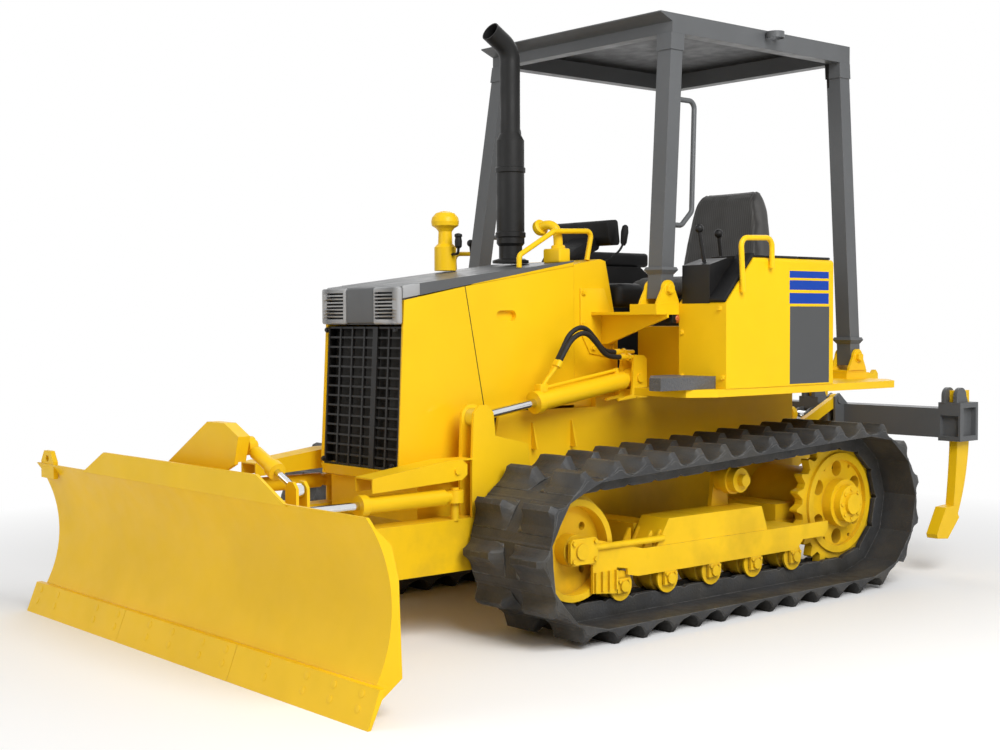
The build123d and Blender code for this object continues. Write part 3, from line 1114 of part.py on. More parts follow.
LIFT_BARREL = 578
LIFT_BASE = (LIFT_X, LIFT_BASE_Y, LIFT_BASE_Z)
LIFT_EYE = (LIFT_X, LIFT_PIN_Y, LIFT_PIN_Z)
ANGLE_BASE = (ANGLE_X, ANGLE_BASE_Y, ANGLE_BASE_Z)
ANGLE_EYE = (ANGLE_X, YOKE_EYE_Y, YOKE_EYE_Z)
HORN_PIN = (HORN_X, TILT_Y, HORN_Z)
TILT_EYE = (TILT_ANCHOR_X, TILT_Y, TILT_ANCHOR_Z)
RAM_BASE = (0, RAM_BASE_Y, RAM_BASE_Z)
RAM_EYE = (0, RIPPER_PIVOT_Y + LINK_RUN - 6, RAM_EYE_Z)
ACROSS = (1, 0, 0)
UPRIGHT = (0, 0, 1)
LENGTHWISE = (0, 1, 0)


def lift_barrel():
    """The barrel with a steel oil line along its top between two fittings."""
    body = cylinder_barrel(LIFT_BASE, LIFT_EYE, ACROSS, 38, 17.5, 20, LIFT_BARREL, LIFT_EYE_HALF, 42)
    base = Vector(*LIFT_BASE)
    along = (Vector(*LIFT_EYE) - base).normalized()
    up = Vector(*ACROSS).cross(along) * -1
    near, far = base + along * 96, base + along * (LIFT_BARREL - 46)
    body += rod(near + up * 50, far + up * 50, 7)
    for foot in (near, far):
        body += rod(foot + up * 30, foot + up * 58, 11)
    return body


def lift_rod():
    return cylinder_rod(LIFT_BASE, LIFT_EYE, ACROSS, 17.5, 480, 28, 38)


def angle_barrel():
    return cylinder_barrel(ANGLE_BASE, ANGLE_EYE, UPRIGHT, 31, 15, 16, 450, ANGLE_EYE_HALF, 34)


def angle_rod():
    return cylinder_rod(ANGLE_BASE, ANGLE_EYE, UPRIGHT, 15, 520, ANGLE_EYE_HALF, 32)


def tilt_barrel():
    return cylinder_barrel(HORN_PIN, TILT_EYE, LENGTHWISE, 25, 12, 18, 205, TILT_EYE_HALF, 34)


def tilt_rod():
    return cylinder_rod(HORN_PIN, TILT_EYE, LENGTHWISE, 12, 212, TILT_EYE_HALF, 26)


# Ripper

def link(y0, z0, y1, z1, x0, x1, height):
    """A flat link with a round eye at each end, bored for its pins."""
    body = bar_x(y0, z0, x0, x1, height) + bar_x(y1, z1, x0, x1, height)
    length = hypot(y1 - y0, z1 - z0)
    up_y, up_z = -(z1 - z0) / length * height * 0.8, (y1 - y0) / length * height * 0.8
    body += side_plate([(y0 + up_y, z0 + up_z), (y1 + up_y, z1 + up_z), (y1 - up_y, z1 - up_z),
                        (y0 - up_y, z0 - up_z)], x0, x1)
    for y, z in ((y0, z0), (y1, z1)):
        body -= bar_x(y, z, x0 - 1, x1 + 1, LINK_PIN_R + CLEAR)
    return body


def ripper_lower_links():
    """The lower pair, tied by a cross tube."""
    y, z = RIPPER_PIVOT_Y, RIPPER_PIVOT_Z
    x0, x1 = LINK_X - LINK_THICK / 2, LINK_X + LINK_THICK / 2
    arm = link(y, z, y + LINK_RUN, z + LINK_LIFT, x0, x1, 36)
    pair = arm + mirrored(arm)
    pair += bar_x(y + LINK_RUN / 2, z + LINK_LIFT / 2, -x0 - 5, x0 + 5, 26)
    return pair


def ripper_upper_links():
    y, z = RIPPER_PIVOT_Y, RIPPER_PIVOT_Z + LINK_RISE
    x0, x1 = LINK_X - LINK_THICK / 2, LINK_X + LINK_THICK / 2
    arm = link(y, z, y + LINK_RUN, z + LINK_LIFT, x0, x1, 32)
    return solids_of(arm, mirrored(arm))


def ripper_toolbar():
    """Square toolbar with a holder for each shank and ears for the links and the cylinder."""
    top = TOOLBAR_BOTTOM + TOOLBAR_HEIGHT
    body = block(-TOOLBAR_HALF, TOOLBAR_HALF, TOOLBAR_FRONT, TOOLBAR_FRONT + TOOLBAR_DEPTH, TOOLBAR_BOTTOM, top)
    for x in (-SHANK_X, 0, SHANK_X):
        body += block(x - HOLDER_WIDTH / 2, x + HOLDER_WIDTH / 2, TOOLBAR_FRONT, LENGTH / 2, 630, 815)
        for x0 in (x - SHANK_THICK / 2 - CLEAR - LUG_THICK, x + SHANK_THICK / 2 + CLEAR):
            body += side_plate([(1776, 810), (1776, 846), (1858, 846), (1876, 810)], x0, x0 + LUG_THICK)
            body += bar_x(1817, 846, x0, x0 + LUG_THICK, 41)
    for x in (-SHANK_X, 0, SHANK_X):
        half = SHANK_THICK / 2 + CLEAR
        body -= block(x - half, x + half, SHANK_FRONT - CLEAR, SHANK_REAR + CLEAR, 600, 900)
        body -= block(x - 48, x + 48, TOOLBAR_FRONT - 1, TOOLBAR_FRONT + 22, 652, 752)
    for side in (-1, 1):
        mouth = side * (SHANK_X + HOLDER_WIDTH / 2)
        body -= block(min(mouth, mouth - side * 26), max(mouth, mouth - side * 26), 1806, LENGTH / 2 - 20, 655, 790)
    y, z = RIPPER_PIVOT_Y + LINK_RUN, RIPPER_PIVOT_Z + LINK_LIFT
    outline = [(TOOLBAR_FRONT + 5, z - 20), (y, z - 38), (y - 34, z - 18), (y - 34, z + LINK_RISE + 18),
               (y, z + LINK_RISE + 36), (TOOLBAR_FRONT + 40, top - 5), (TOOLBAR_FRONT + 5, top - 5)]
    inner = LINK_X - LINK_THICK / 2 - PIN_GAP - EAR_THICK
    outer = LINK_X + LINK_THICK / 2 + PIN_GAP
    ears = side_plate(outline, inner, inner + EAR_THICK) + side_plate(outline, outer, outer + EAR_THICK)
    for pin_z in (z, z + LINK_RISE):
        ears += bar_x(y, pin_z, inner - 6, outer + EAR_THICK + 6, LINK_PIN_R)
    body += ears + mirrored(ears)
    gap = LIFT_EYE_HALF + PIN_GAP
    lug = side_plate([(TOOLBAR_FRONT + 5, RAM_EYE_Z - 50), (y, RAM_EYE_Z - 44), (y - 40, RAM_EYE_Z - 20),
                      (y - 40, RAM_EYE_Z + 20), (y, RAM_EYE_Z + 44), (TOOLBAR_FRONT + 5, RAM_EYE_Z + 50)],
                     gap, gap + EAR_THICK)
    body += lug + mirrored(lug)
    return body


def ripper_shanks():
    """Curved tines with wider point caps, one in each holder."""
    top = (SHANK_FRONT, 872), (SHANK_REAR, 872)
    front = (SHANK_FRONT, 600), (SHANK_FRONT - 12, 455), (SHANK_FRONT - 29, 317)
    rear = (SHANK_REAR, 618), (SHANK_REAR - 42, 400), (SHANK_REAR - 125, 212)
    toe = (SHANK_FRONT - 80, 235)
    place = [[(0, y, z) for y, z in points] for points in (top, front, rear)]
    (top_front, top_rear), front, rear = place
    toe = (0, *toe)
    outline = [Line(top_front, front[0]), ThreePointArc(*front), Line(front[2], toe), Line(toe, rear[2]),
               ThreePointArc(*reversed(rear)), Line(rear[0], top_rear), Line(top_rear, top_front)]
    tine = extrude(make_face(outline), amount=SHANK_THICK / 2, both=True, dir=(1, 0, 0))
    cap = [(1712, 318), (1636, 196), (1644, 176), (1729, 168), (1826, 262), (1786, 322)]
    tine += side_plate(cap, -SHANK_THICK / 2 - 7, SHANK_THICK / 2 + 7)
    return solids_of(*[Pos(x, 0, 0) * tine for x in (-SHANK_X, 0, SHANK_X)])


def ripper_barrel():
    return cylinder_barrel(RAM_BASE, RAM_EYE, ACROSS, 36, 16, 20, 315, LIFT_EYE_HALF, 34)


def ripper_rod():
    return cylinder_rod(RAM_BASE, RAM_EYE, ACROSS, 16, 270, LIFT_EYE_HALF, 32)


def build_all():
    left, right = 1, -1
    left_track = track()
    nodes = {
        "main_frame": main_frame(),
        "engine_block": engine_block(),
        "radiator_guard": radiator_guard(),
        "radiator_grille": radiator_grille(),
        "lamp_panel": lamp_panel(),
        "hood_top": hood_top(),
        "side_cover_left": side_cover(left),
        "side_cover_right": side_cover(right),
        "cowl": cowl(),
        "exhaust_stack": exhaust_stack(),
        "precleaner": precleaner(),
        "deck": deck(),
        "steps": solids_of(step(left), step(right)),
        "handrails": handrails(),
        "post_rails": post_rails(),
        "side_box_left": side_box(left),
        "side_box_right": side_box(right),
        "seat": seat(),
        "consoles": consoles(),
        "dash": dash(),
        "canopy_roof": canopy_roof(),
        "canopy_posts": canopy_posts(),
        "post_mounts": post_mounts(),
        "track_frame_left": track_frame(left),
        "track_frame_right": track_frame(right),
        "track_left": left_track,
        "track_right": mirrored(left_track),
        "sprockets": solids_of(sprocket(left), sprocket(right)),
        "idlers": solids_of(idler(left), idler(right)),
        "rollers": rollers(),
        "carrier_rollers": solids_of(carrier_roller(left), carrier_roller(right)),
        "c_frame": c_frame(),
        "yoke": yoke(),
        "blade": blade(),
        "cutting_edge": cutting_edge(),
        "lift_barrel_left": lift_barrel(),
        "lift_barrel_right": mirrored(lift_barrel()),
        "lift_rod_left": lift_rod(),
        "lift_rod_right": mirrored(lift_rod()),
        "angle_barrel_left": angle_barrel(),
        "angle_barrel_right": mirrored(angle_barrel()),
        "angle_rod_left": angle_rod(),
        "angle_rod_right": mirrored(angle_rod()),
        "tilt_barrel": tilt_barrel(),
        "tilt_rod": tilt_rod(),
        "ripper_lower_links": ripper_lower_links(),
        "ripper_upper_links": ripper_upper_links(),
        "ripper_toolbar": ripper_toolbar(),
        "ripper_shanks": ripper_shanks(),
        "ripper_barrel": ripper_barrel(),
        "ripper_rod": ripper_rod(),
    }
    os.makedirs("parts", exist_ok=True)
    for name, part in nodes.items():
        export_step(part, f"parts/{name}.step")
        print(name, len(part.solids()))


build_all()
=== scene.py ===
import json
import math

import bpy
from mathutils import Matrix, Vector


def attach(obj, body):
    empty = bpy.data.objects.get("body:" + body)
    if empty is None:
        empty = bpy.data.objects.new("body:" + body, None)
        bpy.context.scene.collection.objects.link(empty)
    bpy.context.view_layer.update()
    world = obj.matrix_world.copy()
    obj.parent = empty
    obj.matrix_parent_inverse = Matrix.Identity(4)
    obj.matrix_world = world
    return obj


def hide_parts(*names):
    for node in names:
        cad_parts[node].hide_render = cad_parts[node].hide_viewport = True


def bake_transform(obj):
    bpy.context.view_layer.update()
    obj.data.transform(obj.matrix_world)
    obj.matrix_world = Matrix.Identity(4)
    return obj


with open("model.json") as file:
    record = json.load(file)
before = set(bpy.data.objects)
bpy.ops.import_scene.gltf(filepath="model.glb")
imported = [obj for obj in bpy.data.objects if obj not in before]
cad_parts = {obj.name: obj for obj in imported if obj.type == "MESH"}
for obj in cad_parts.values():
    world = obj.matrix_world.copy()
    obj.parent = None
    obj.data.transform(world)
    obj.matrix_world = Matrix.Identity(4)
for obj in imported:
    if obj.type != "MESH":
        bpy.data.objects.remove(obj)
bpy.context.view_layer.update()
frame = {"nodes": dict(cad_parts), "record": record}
bpy.ops.object.select_all(action="DESELECT")


# Finishes

def wire(tree, kind, inputs, **settings):
    """Adds a shader node, with a value or another node's output on each named input."""
    made = tree.nodes.new("ShaderNode" + kind)
    for name, value in settings.items():
        setattr(made, name, value)
    for key, value in inputs.items():
        if isinstance(value, bpy.types.NodeSocket):
            tree.links.new(value, made.inputs[key])
        else:
            made.inputs[key].default_value = value
    return made


def maths(tree, operation, first, second=0.0, clamp=False):
    """One sum on one or two values."""
    inputs = {0: first, 1: second}
    return wire(tree, "Math", inputs, operation=operation, use_clamp=clamp).outputs[0]


def ranged(tree, value, start, end, low, high):
    """Maps a value between two limits, and holds it there beyond them."""
    inputs = {"Value": value, "From Min": start, "From Max": end, "To Min": low, "To Max": high}
    return wire(tree, "MapRange", inputs).outputs["Result"]


def noise(tree, place, scale, detail=4.0):
    """Cloudy variation, finer with a larger scale."""
    return wire(tree, "TexNoise", {"Vector": place, "Scale": scale, "Detail": detail}).outputs["Fac"]


def axes(tree, place):
    """A place's X, Y and Z."""
    return wire(tree, "SeparateXYZ", {"Vector": place}).outputs


# A Mix node's sockets for colours, which come after those for numbers and vectors
COLOUR_BELOW, COLOUR_ABOVE, COLOUR_OUT = 6, 7, 2


def mixed(tree, share, below, above):
    """One colour over another, by a share."""
    inputs = {"Factor": share}
    for socket, colour in ((COLOUR_BELOW, below), (COLOUR_ABOVE, above)):
        inputs[socket] = colour if isinstance(colour, bpy.types.NodeSocket) else (*colour, 1)
    return wire(tree, "Mix", inputs, data_type="RGBA").outputs[COLOUR_OUT]


def within(tree, place, bounds):
    """A share of 1 inside the bounds of each axis and 0 outside, alike on both sides."""
    parts = axes(tree, place)
    share = None
    for axis, (low, high) in bounds.items():
        value = parts[axis]
        if axis == "X":
            value = maths(tree, "ABSOLUTE", value)
        above = maths(tree, "GREATER_THAN", value, low)
        inside = maths(tree, "MULTIPLY", above, maths(tree, "LESS_THAN", value, high))
        share = inside if share is None else maths(tree, "MULTIPLY", share, inside)
    return share


def waves_across(tree, place, pitch):
    """A wave from -1 to 1 across the machine's width."""
    across = axes(tree, place)["X"]
    return maths(tree, "SINE", maths(tree, "MULTIPLY", across, 2 * math.pi / pitch))


# How fine each pattern is
PATCHES, SHEEN, CHIPS, BLOTCHES = 2.6, 14, 26, 7


def rubbed_edges_and_highlight(tree, place, soft, wear):
    """How far the paint is worn off the edges, in broken patches; on the track belts this light edge
    colour is a painted highlight as well as wear.
    """
    true = wire(tree, "NewGeometry", {}).outputs["Normal"]
    along = wire(tree, "VectorMath", {0: soft, 1: true}, operation="DOT_PRODUCT").outputs["Value"]
    edge = ranged(tree, along, 0.985, 0.86, 0, 1)
    broken = ranged(tree, noise(tree, place, CHIPS, 6), 0.62 - wear * 0.3, 0.7, 0, 1)
    return maths(tree, "MULTIPLY", edge, broken)


def dust_and_corner_shade(tree, place, amount, top):
    """How much dust lies in corners and in blotches, with none above its top; the corners, found by
    ambient occlusion, are painted shade as well as dust.
    """
    shut = wire(tree, "AmbientOcclusion", {"Distance": 0.09}, samples=6).outputs["AO"]
    # Corners that ambient occlusion finds closed in: painted shade, as well as the dust that lies
    # there
    corner = ranged(tree, shut, 0.75, 0.15, 0, 1)
    blotch = ranged(tree, noise(tree, place, BLOTCHES, 8), 0.42, 0.68, 0, 1)
    dust_and_shade = maths(tree, "ADD", corner, maths(tree, "MULTIPLY", blotch, 0.55))
    low = ranged(tree, axes(tree, place)["Z"], 0.1, top, 1, 0)
    return maths(tree, "MULTIPLY", maths(tree, "MULTIPLY", dust_and_shade, low), amount, clamp=True)


DUST = (0.16, 0.115, 0.06)
COAT_ROUGHNESS = 0.15


def surface(name, colour, roughness, metallic=0.0, coat=0.0, shine=0.35, shade=0.07, grain=220,
            grain_depth=0.04, rounding=0.002, wear=0.0, worn=(0.3, 0.3, 0.3), dust=0.0,
            dust_top=0.9, dust_and_shade_colour=DUST, extra=None):
    """A painted, cast or moulded finish: patchy colour, worn edges (a painted highlight as well on
    the track belts), dust with painted shade in its corners, and a fine grain.
    """
    material = bpy.data.materials.new(name)
    material.use_nodes = True
    tree = material.node_tree
    shader = tree.nodes["Principled BSDF"]
    place = wire(tree, "TexCoord", {}).outputs["Object"]
    dark = tuple(channel * (1 - shade) for channel in colour)
    light = tuple(min(1, channel * (1 + shade / 2)) for channel in colour)
    look = mixed(tree, ranged(tree, noise(tree, place, PATCHES), 0.35, 0.65, 0, 1), dark, light)
    if extra:
        look = extra(tree, place, look)
    smooth, matt = roughness * 0.85, min(1, roughness * 1.2)
    rough = ranged(tree, noise(tree, place, SHEEN), 0.3, 0.7, smooth, matt)
    soft = wire(tree, "Bevel", {"Radius": rounding}, samples=4).outputs["Normal"]
    if wear:
        # Edges in the worn colour: wear, and on the track belts a painted highlight too
        look = mixed(tree, rubbed_edges_and_highlight(tree, place, soft, wear), look, worn)
    # Dust in blotches and corners, in the dust colour; in the corners it is painted shade too
    if dust:
        dust_and_shade = dust_and_corner_shade(tree, place, dust, dust_top)
        look = mixed(tree, dust_and_shade, look, dust_and_shade_colour)
        rough = maths(tree, "ADD", rough, maths(tree, "MULTIPLY", dust_and_shade, 0.35))
    grains = noise(tree, place, grain, 3)
    relief = {"Height": grains, "Normal": soft, "Strength": grain_depth, "Distance": 0.01}
    tree.links.new(look, shader.inputs["Base Color"])
    tree.links.new(rough, shader.inputs["Roughness"])
    tree.links.new(wire(tree, "Bump", relief).outputs["Normal"], shader.inputs["Normal"])
    shader.inputs["Metallic"].default_value = metallic
    shader.inputs["Coat Weight"].default_value = coat
    shader.inputs["Coat Roughness"].default_value = COAT_ROUGHNESS
    shader.inputs["Specular IOR Level"].default_value = shine
    return material


# Side boxes: three stripes over a blank panel
BOX_FACE = (0.8985, 0.91)
STRIPE_HEIGHTS = ((1.391, 1.42), (1.341, 1.381), (1.283, 1.328))
STRIPE_LENGTH = (0.471, 0.738)
STRIPE_BLUE = (0.006, 0.052, 0.36)
PANEL_HEIGHT = (0.947, 1.272)
PANEL_LENGTH = (0.474, 0.742)
PANEL_GREY = (0.082, 0.084, 0.086)


def stripes(tree, place, look):
    """Three blue bands and a blank grey panel on the outer faces."""
    for height in STRIPE_HEIGHTS:
        band = within(tree, place, {"X": BOX_FACE, "Y": STRIPE_LENGTH, "Z": height})
        look = mixed(tree, band, look, STRIPE_BLUE)
    panel = within(tree, place, {"X": BOX_FACE, "Y": PANEL_LENGTH, "Z": PANEL_HEIGHT})
    return mixed(tree, panel, look, PANEL_GREY)


# Side covers: the gap ahead of each, which leans forward as it rises
SEAM_LEAN = 0.19874                   # forward for each metre up
SEAM_FOOT = 0.48548                   # ahead of the middle, were it drawn down to the ground
SEAM_HALF_WIDTH = 0.0023
SEAM_REACH = {"X": (0.2555, 0.2645), "Z": (0.86, 1.3535)}


def seam_line(tree, place, look):
    """The dark gap ahead of each side cover."""
    parts = axes(tree, place)
    slant = maths(tree, "ADD", parts["Y"], maths(tree, "MULTIPLY", parts["Z"], SEAM_LEAN))
    off = maths(tree, "ABSOLUTE", maths(tree, "ADD", slant, SEAM_FOOT))
    gap = maths(tree, "LESS_THAN", off, SEAM_HALF_WIDTH)
    gap = maths(tree, "MULTIPLY", gap, within(tree, place, SEAM_REACH))
    return mixed(tree, gap, look, (0.045, 0.028, 0.004))


def belt_dust(tree, place, look):
    """Olive dust packed on the shoes in patches."""
    packed = ranged(tree, noise(tree, place, 5, 9), 0.44, 0.66, 0, 0.75)
    return mixed(tree, packed, look, (0.075, 0.068, 0.055))


def pinstripe(tree, place, look):
    """Dark sewn lines along the seat."""
    line = ranged(tree, waves_across(tree, place, 0.0125), 0.35, 0.95, 0, 0.65)
    return mixed(tree, line, look, (0.02, 0.0195, 0.0185))


def shaded_ceiling(tree, place, look):
    """Painted shade: the roof's underside inside its border, painted nearly black."""
    shaded_underside = within(tree, place, {"X": (-1, 0.5125), "Y": (0.171, 1.269), "Z": (2.3, 2.488)})
    return mixed(tree, shaded_underside, look, (0.006, 0.005, 0.004))


def cooling_fins(tree, place, look):
    """Closely set dark fins."""
    fin = ranged(tree, waves_across(tree, place, 0.006), -0.2, 0.6, 0, 0.8)
    return mixed(tree, fin, look, (0.004, 0.004, 0.004))


YELLOW_TONE = (0.93, 0.575, 0.008)
YELLOW = surface("yellow_paint", YELLOW_TONE, 0.4, coat=0.06, shine=0.2, shade=0.05, grain=300,
                 grain_depth=0.03, wear=0.25, worn=(0.55, 0.4, 0.1), dust=0.07, dust_top=0.8,
                 extra=seam_line)
YELLOW_LOW = surface("yellow_running_gear", YELLOW_TONE, 0.45, coat=0.05, shine=0.2, shade=0.08,
                     grain=160, grain_depth=0.07, wear=0.5, worn=(0.3, 0.22, 0.08), dust=0.6,
                     dust_top=0.7, dust_and_shade_colour=(0.2, 0.125, 0.03))
YELLOW_STRIPED = surface("yellow_striped", YELLOW_TONE, 0.4, shine=0.15, shade=0.05, grain=300,
                         grain_depth=0.03, extra=stripes)
# Dark grey paint, with painted shade under the roof
GREY = surface("dark_grey_paint", (0.108, 0.112, 0.116), 0.42, coat=0.08, shine=0.25, shade=0.08,
               grain=260, grain_depth=0.05, wear=0.3, worn=(0.2, 0.2, 0.195), dust=0.12,
               dust_top=3.0, dust_and_shade_colour=(0.15, 0.14, 0.12), extra=shaded_ceiling)
PALE = surface("grey_paint", (0.36, 0.365, 0.37), 0.38, coat=0.2, shade=0.06, grain=300,
               grain_depth=0.04)
BLACK = surface("black_paint", (0.01, 0.01, 0.0105), 0.42, shine=0.25, shade=0.2, grain=200,
                grain_depth=0.06, wear=0.3, worn=(0.05, 0.049, 0.047), dust=0.06, dust_top=2.0)
PLASTIC = surface("black_plastic", (0.008, 0.008, 0.0085), 0.5, shine=0.22, shade=0.15, grain=520,
                  grain_depth=0.12)
IRON = surface("cast_iron", (0.03, 0.03, 0.031), 0.6, shade=0.3, grain=150, grain_depth=0.2,
               dust=0.4, dust_top=2.0)
CORE = surface("radiator_core", (0.014, 0.012, 0.009), 0.7, shade=0.3, grain=200, grain_depth=0.2,
               extra=cooling_fins)
HOT = surface("muffler_black", (0.013, 0.0128, 0.0125), 0.45, shine=0.22, shade=0.35, grain=120,
              grain_depth=0.07, wear=0.4, worn=(0.09, 0.07, 0.055))
# The belts' dust colour is near black, so their corners and recesses take painted shade; their light
# edges are wear and a painted highlight
TRACK = surface("track_steel", (0.052, 0.053, 0.055), 0.5, metallic=0.1, shade=0.3, grain=110,
                grain_depth=0.22, rounding=0.005, wear=1.0, worn=(0.26, 0.26, 0.25), dust=0.85,
                dust_top=1.6, dust_and_shade_colour=(0.014, 0.012, 0.009), extra=belt_dust)
TREAD = surface("tread_plate", (0.1, 0.102, 0.106), 0.55, shade=0.2, grain=95, grain_depth=0.6,
                wear=0.5, worn=(0.25, 0.25, 0.24), dust=0.4, dust_top=1.6, dust_and_shade_colour=(0.15, 0.13, 0.1))
CHROME = surface("steel_rod", (0.72, 0.73, 0.74), 0.14, metallic=1.0, shade=0.05, grain=900,
                 grain_depth=0.01)
BRIGHT = surface("plated_steel", (0.5, 0.47, 0.4), 0.32, metallic=1.0, shade=0.2, grain=400,
                 grain_depth=0.05)
VINYL = surface("seat_vinyl", (0.062, 0.06, 0.057), 0.55, shade=0.12, grain=650, grain_depth=0.22,
                extra=pinstripe)
BOLSTER = surface("seat_side_vinyl", (0.055, 0.053, 0.051), 0.5, shade=0.12, grain=650,
                  grain_depth=0.22)
RUBBER = surface("hose_rubber", (0.012, 0.012, 0.012), 0.55, shade=0.2, grain=700, grain_depth=0.25)
AMBER = surface("amber_lens", (0.55, 0.12, 0.02), 0.2, coat=0.8, shade=0.1, grain=90,
                grain_depth=0.1)
GLASS = surface("gauge_glass", (0.02, 0.022, 0.024), 0.08, coat=1.0, shade=0.1, grain=60,
                grain_depth=0.0)

SLOT_FINISH = {"yellow_paint": YELLOW, "dark_grey_paint": GREY, "grey_paint": PALE,
               "black_paint": BLACK, "black_plastic": PLASTIC, "cast_iron": IRON,
               "track_steel": TRACK, "steel_rod": CHROME, "seat_vinyl": VINYL}
NODE_FINISH = {"side_box_left": YELLOW_STRIPED, "side_box_right": YELLOW_STRIPED,
               "exhaust_stack": HOT, "steps": TREAD, "lamp_panel": GREY}
DUSTY_NODES = ("track_frame_left", "track_frame_right", "sprockets", "idlers", "rollers",
               "carrier_rollers", "main_frame", "c_frame", "yoke")
NODE_FINISH.update(dict.fromkeys(DUSTY_NODES, YELLOW_LOW))

for part in frame["record"]["subparts"]:
    finish = NODE_FINISH.get(part["node"], SLOT_FINISH[part["material_slot"]])
    carried = frame["nodes"][part["node"]]
    carried.data.materials.clear()
    carried.data.materials.append(finish)


# Workshop

def edit(action="SELECT"):
    """Opens the active piece with all of it, or none of it, selected."""
    bpy.ops.object.mode_set(mode="EDIT")
    bpy.ops.mesh.select_mode(type="FACE")
    bpy.ops.mesh.select_all(action=action)


def outwards():
    """Turns every face of the open piece outwards, and leaves all of it selected."""
    bpy.ops.mesh.select_all(action="SELECT")
    bpy.ops.mesh.normals_make_consistent(inside=False)


def leave():
    """Closes the open piece."""
    bpy.ops.object.mode_set(mode="OBJECT")


def pick(piece):
    """Selects one piece alone, and makes it the active one."""
    bpy.ops.object.select_all(action="DESELECT")
    piece.select_set(True)
    bpy.context.view_layer.objects.active = piece


def settle():
    """Puts the active object's place, turn and size into its mesh."""
    bpy.ops.object.transform_apply(location=True, rotation=True, scale=True)


def block(low, high, rounding=0.003, segments=2):
    """A piece squared up between two corners, with its edges rounded."""
    bpy.ops.mesh.primitive_cube_add(size=1, location=[(a + b) / 2 for a, b in zip(low, high)])
    bpy.context.object.scale = [b - a for a, b in zip(low, high)]
    settle()
    edit()
    bpy.ops.mesh.bevel(offset=rounding, segments=segments, affect="EDGES")
    leave()
    return bpy.context.object


def plate(outline, start, end, rounding=0.0015):
    """A plate cut to an outline in the side view, as (y, z), from start to end across the machine."""
    bpy.ops.mesh.primitive_circle_add(vertices=len(outline), radius=1, fill_type="NGON")
    piece = bpy.context.object
    for vertex, (y, z) in zip(piece.data.vertices, outline):
        vertex.co = (start, y, z)
    edit()
    bpy.ops.mesh.extrude_region_move(TRANSFORM_OT_translate={"value": (end - start, 0, 0)})
    outwards()
    bpy.ops.mesh.bevel(offset=rounding, segments=2, affect="EDGES")
    leave()
    return piece


def turned(rings, place, direction=(0, 0, 1), sides=24):
    """A round piece raised ring by ring, as (radius, height), then stood at its place."""
    radius, height = rings[0]
    bpy.ops.mesh.primitive_circle_add(vertices=sides, radius=radius, fill_type="NGON")
    piece = bpy.context.object
    edit()
    bpy.ops.transform.translate(value=(0, 0, height))
    for next_radius, next_height in rings[1:]:
        rise = (0, 0, next_height - height)
        bpy.ops.mesh.extrude_region_move(TRANSFORM_OT_translate={"value": rise})
        share = next_radius / radius
        bpy.ops.transform.resize(value=(share, share, 1))
        radius, height = next_radius, next_height
    outwards()
    leave()
    piece.rotation_mode = "QUATERNION"
    piece.rotation_quaternion = Vector(direction).to_track_quat("Z", "Y")
    piece.location = place
    settle()
    return piece


def route_of(points):
    """A smooth line through space, held by a few points."""
    curve = bpy.data.curves.new("route", "CURVE")
    curve.dimensions = "3D"
    spline = curve.splines.new("NURBS")
    spline.points.add(len(points) - 1)
    for held, point in zip(spline.points, points):
        held.co = (*point, 1)
    spline.order_u = 3
    spline.use_endpoint_u = True
    curve.resolution_u = 10
    route = bpy.data.objects.new("route", curve)
    bpy.context.scene.collection.objects.link(route)
    return route


def tube(points, radius):
    """A round tube along a smooth line, as a mesh, and the points that it follows."""
    route = route_of(points)
    bpy.context.view_layer.update()
    bare = bpy.data.meshes.new_from_object(route)
    path = [tuple(vertex.co) for vertex in bare.vertices]
    bpy.data.meshes.remove(bare)
    route.data.bevel_depth = radius
    route.data.bevel_resolution = 4
    route.data.use_fill_caps = True
    bpy.context.view_layer.objects.active = route
    route.select_set(True)
    bpy.ops.object.convert(target="MESH")
    piece = bpy.context.object
    edit()
    bpy.ops.mesh.remove_doubles(threshold=0.00001)
    outwards()
    leave()
    return piece, path


def pipe(points, radius):
    """A round tube along a smooth line, as a mesh."""
    piece, _ = tube(points, radius)
    return piece


def done(piece, name, finish, body, angle=35):
    """Names a finished piece, gives it its finish and lets it ride."""
    pick(piece)
    bpy.ops.object.shade_smooth_by_angle(angle=math.radians(angle))
    piece.name = name
    piece.data.name = name
    if finish:
        piece.data.materials.clear()
        piece.data.materials.append(finish)
    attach(piece, body)
    bpy.ops.object.select_all(action="DESELECT")
    return piece


def copied(piece):
    """Another of the same piece, with its own mesh."""
    pick(piece)
    bpy.ops.object.duplicate(linked=False)
    return bpy.context.object


def flipped(piece):
    """The same piece for the machine's other side."""
    again = copied(piece)
    again.scale = (-1, 1, 1)
    settle()
    edit()
    outwards()
    leave()
    return again


def joined(pieces):
    """Several pieces as one."""
    bpy.ops.object.select_all(action="DESELECT")
    for piece in pieces:
        piece.select_set(True)
    bpy.context.view_layer.objects.active = pieces[0]
    bpy.ops.object.join()
    return bpy.context.object


def bolt(place, direction, size=0.011):
    """A hexagon head on its washer."""
    rim, flat = size * 1.3, 0.003
    washer = turned([(size * 1.25, 0), (rim, 0.0012), (size * 1.2, flat)], place, direction, 20)
    head = turned([(size, flat), (size, flat + size * 0.62), (size * 0.86, flat + size * 0.74),
                   (size * 0.6, flat + size * 0.7)], place, direction, 6)
    return joined([washer, head])


def both(piece, name, finish, body):
    """A left-hand piece and its twin on the right, each on its own side's body."""
    twin = flipped(piece)
    done(piece, name + "_left", finish, body.format("left"))
    done(twin, name + "_right", finish, body.format("right"))


# Seat

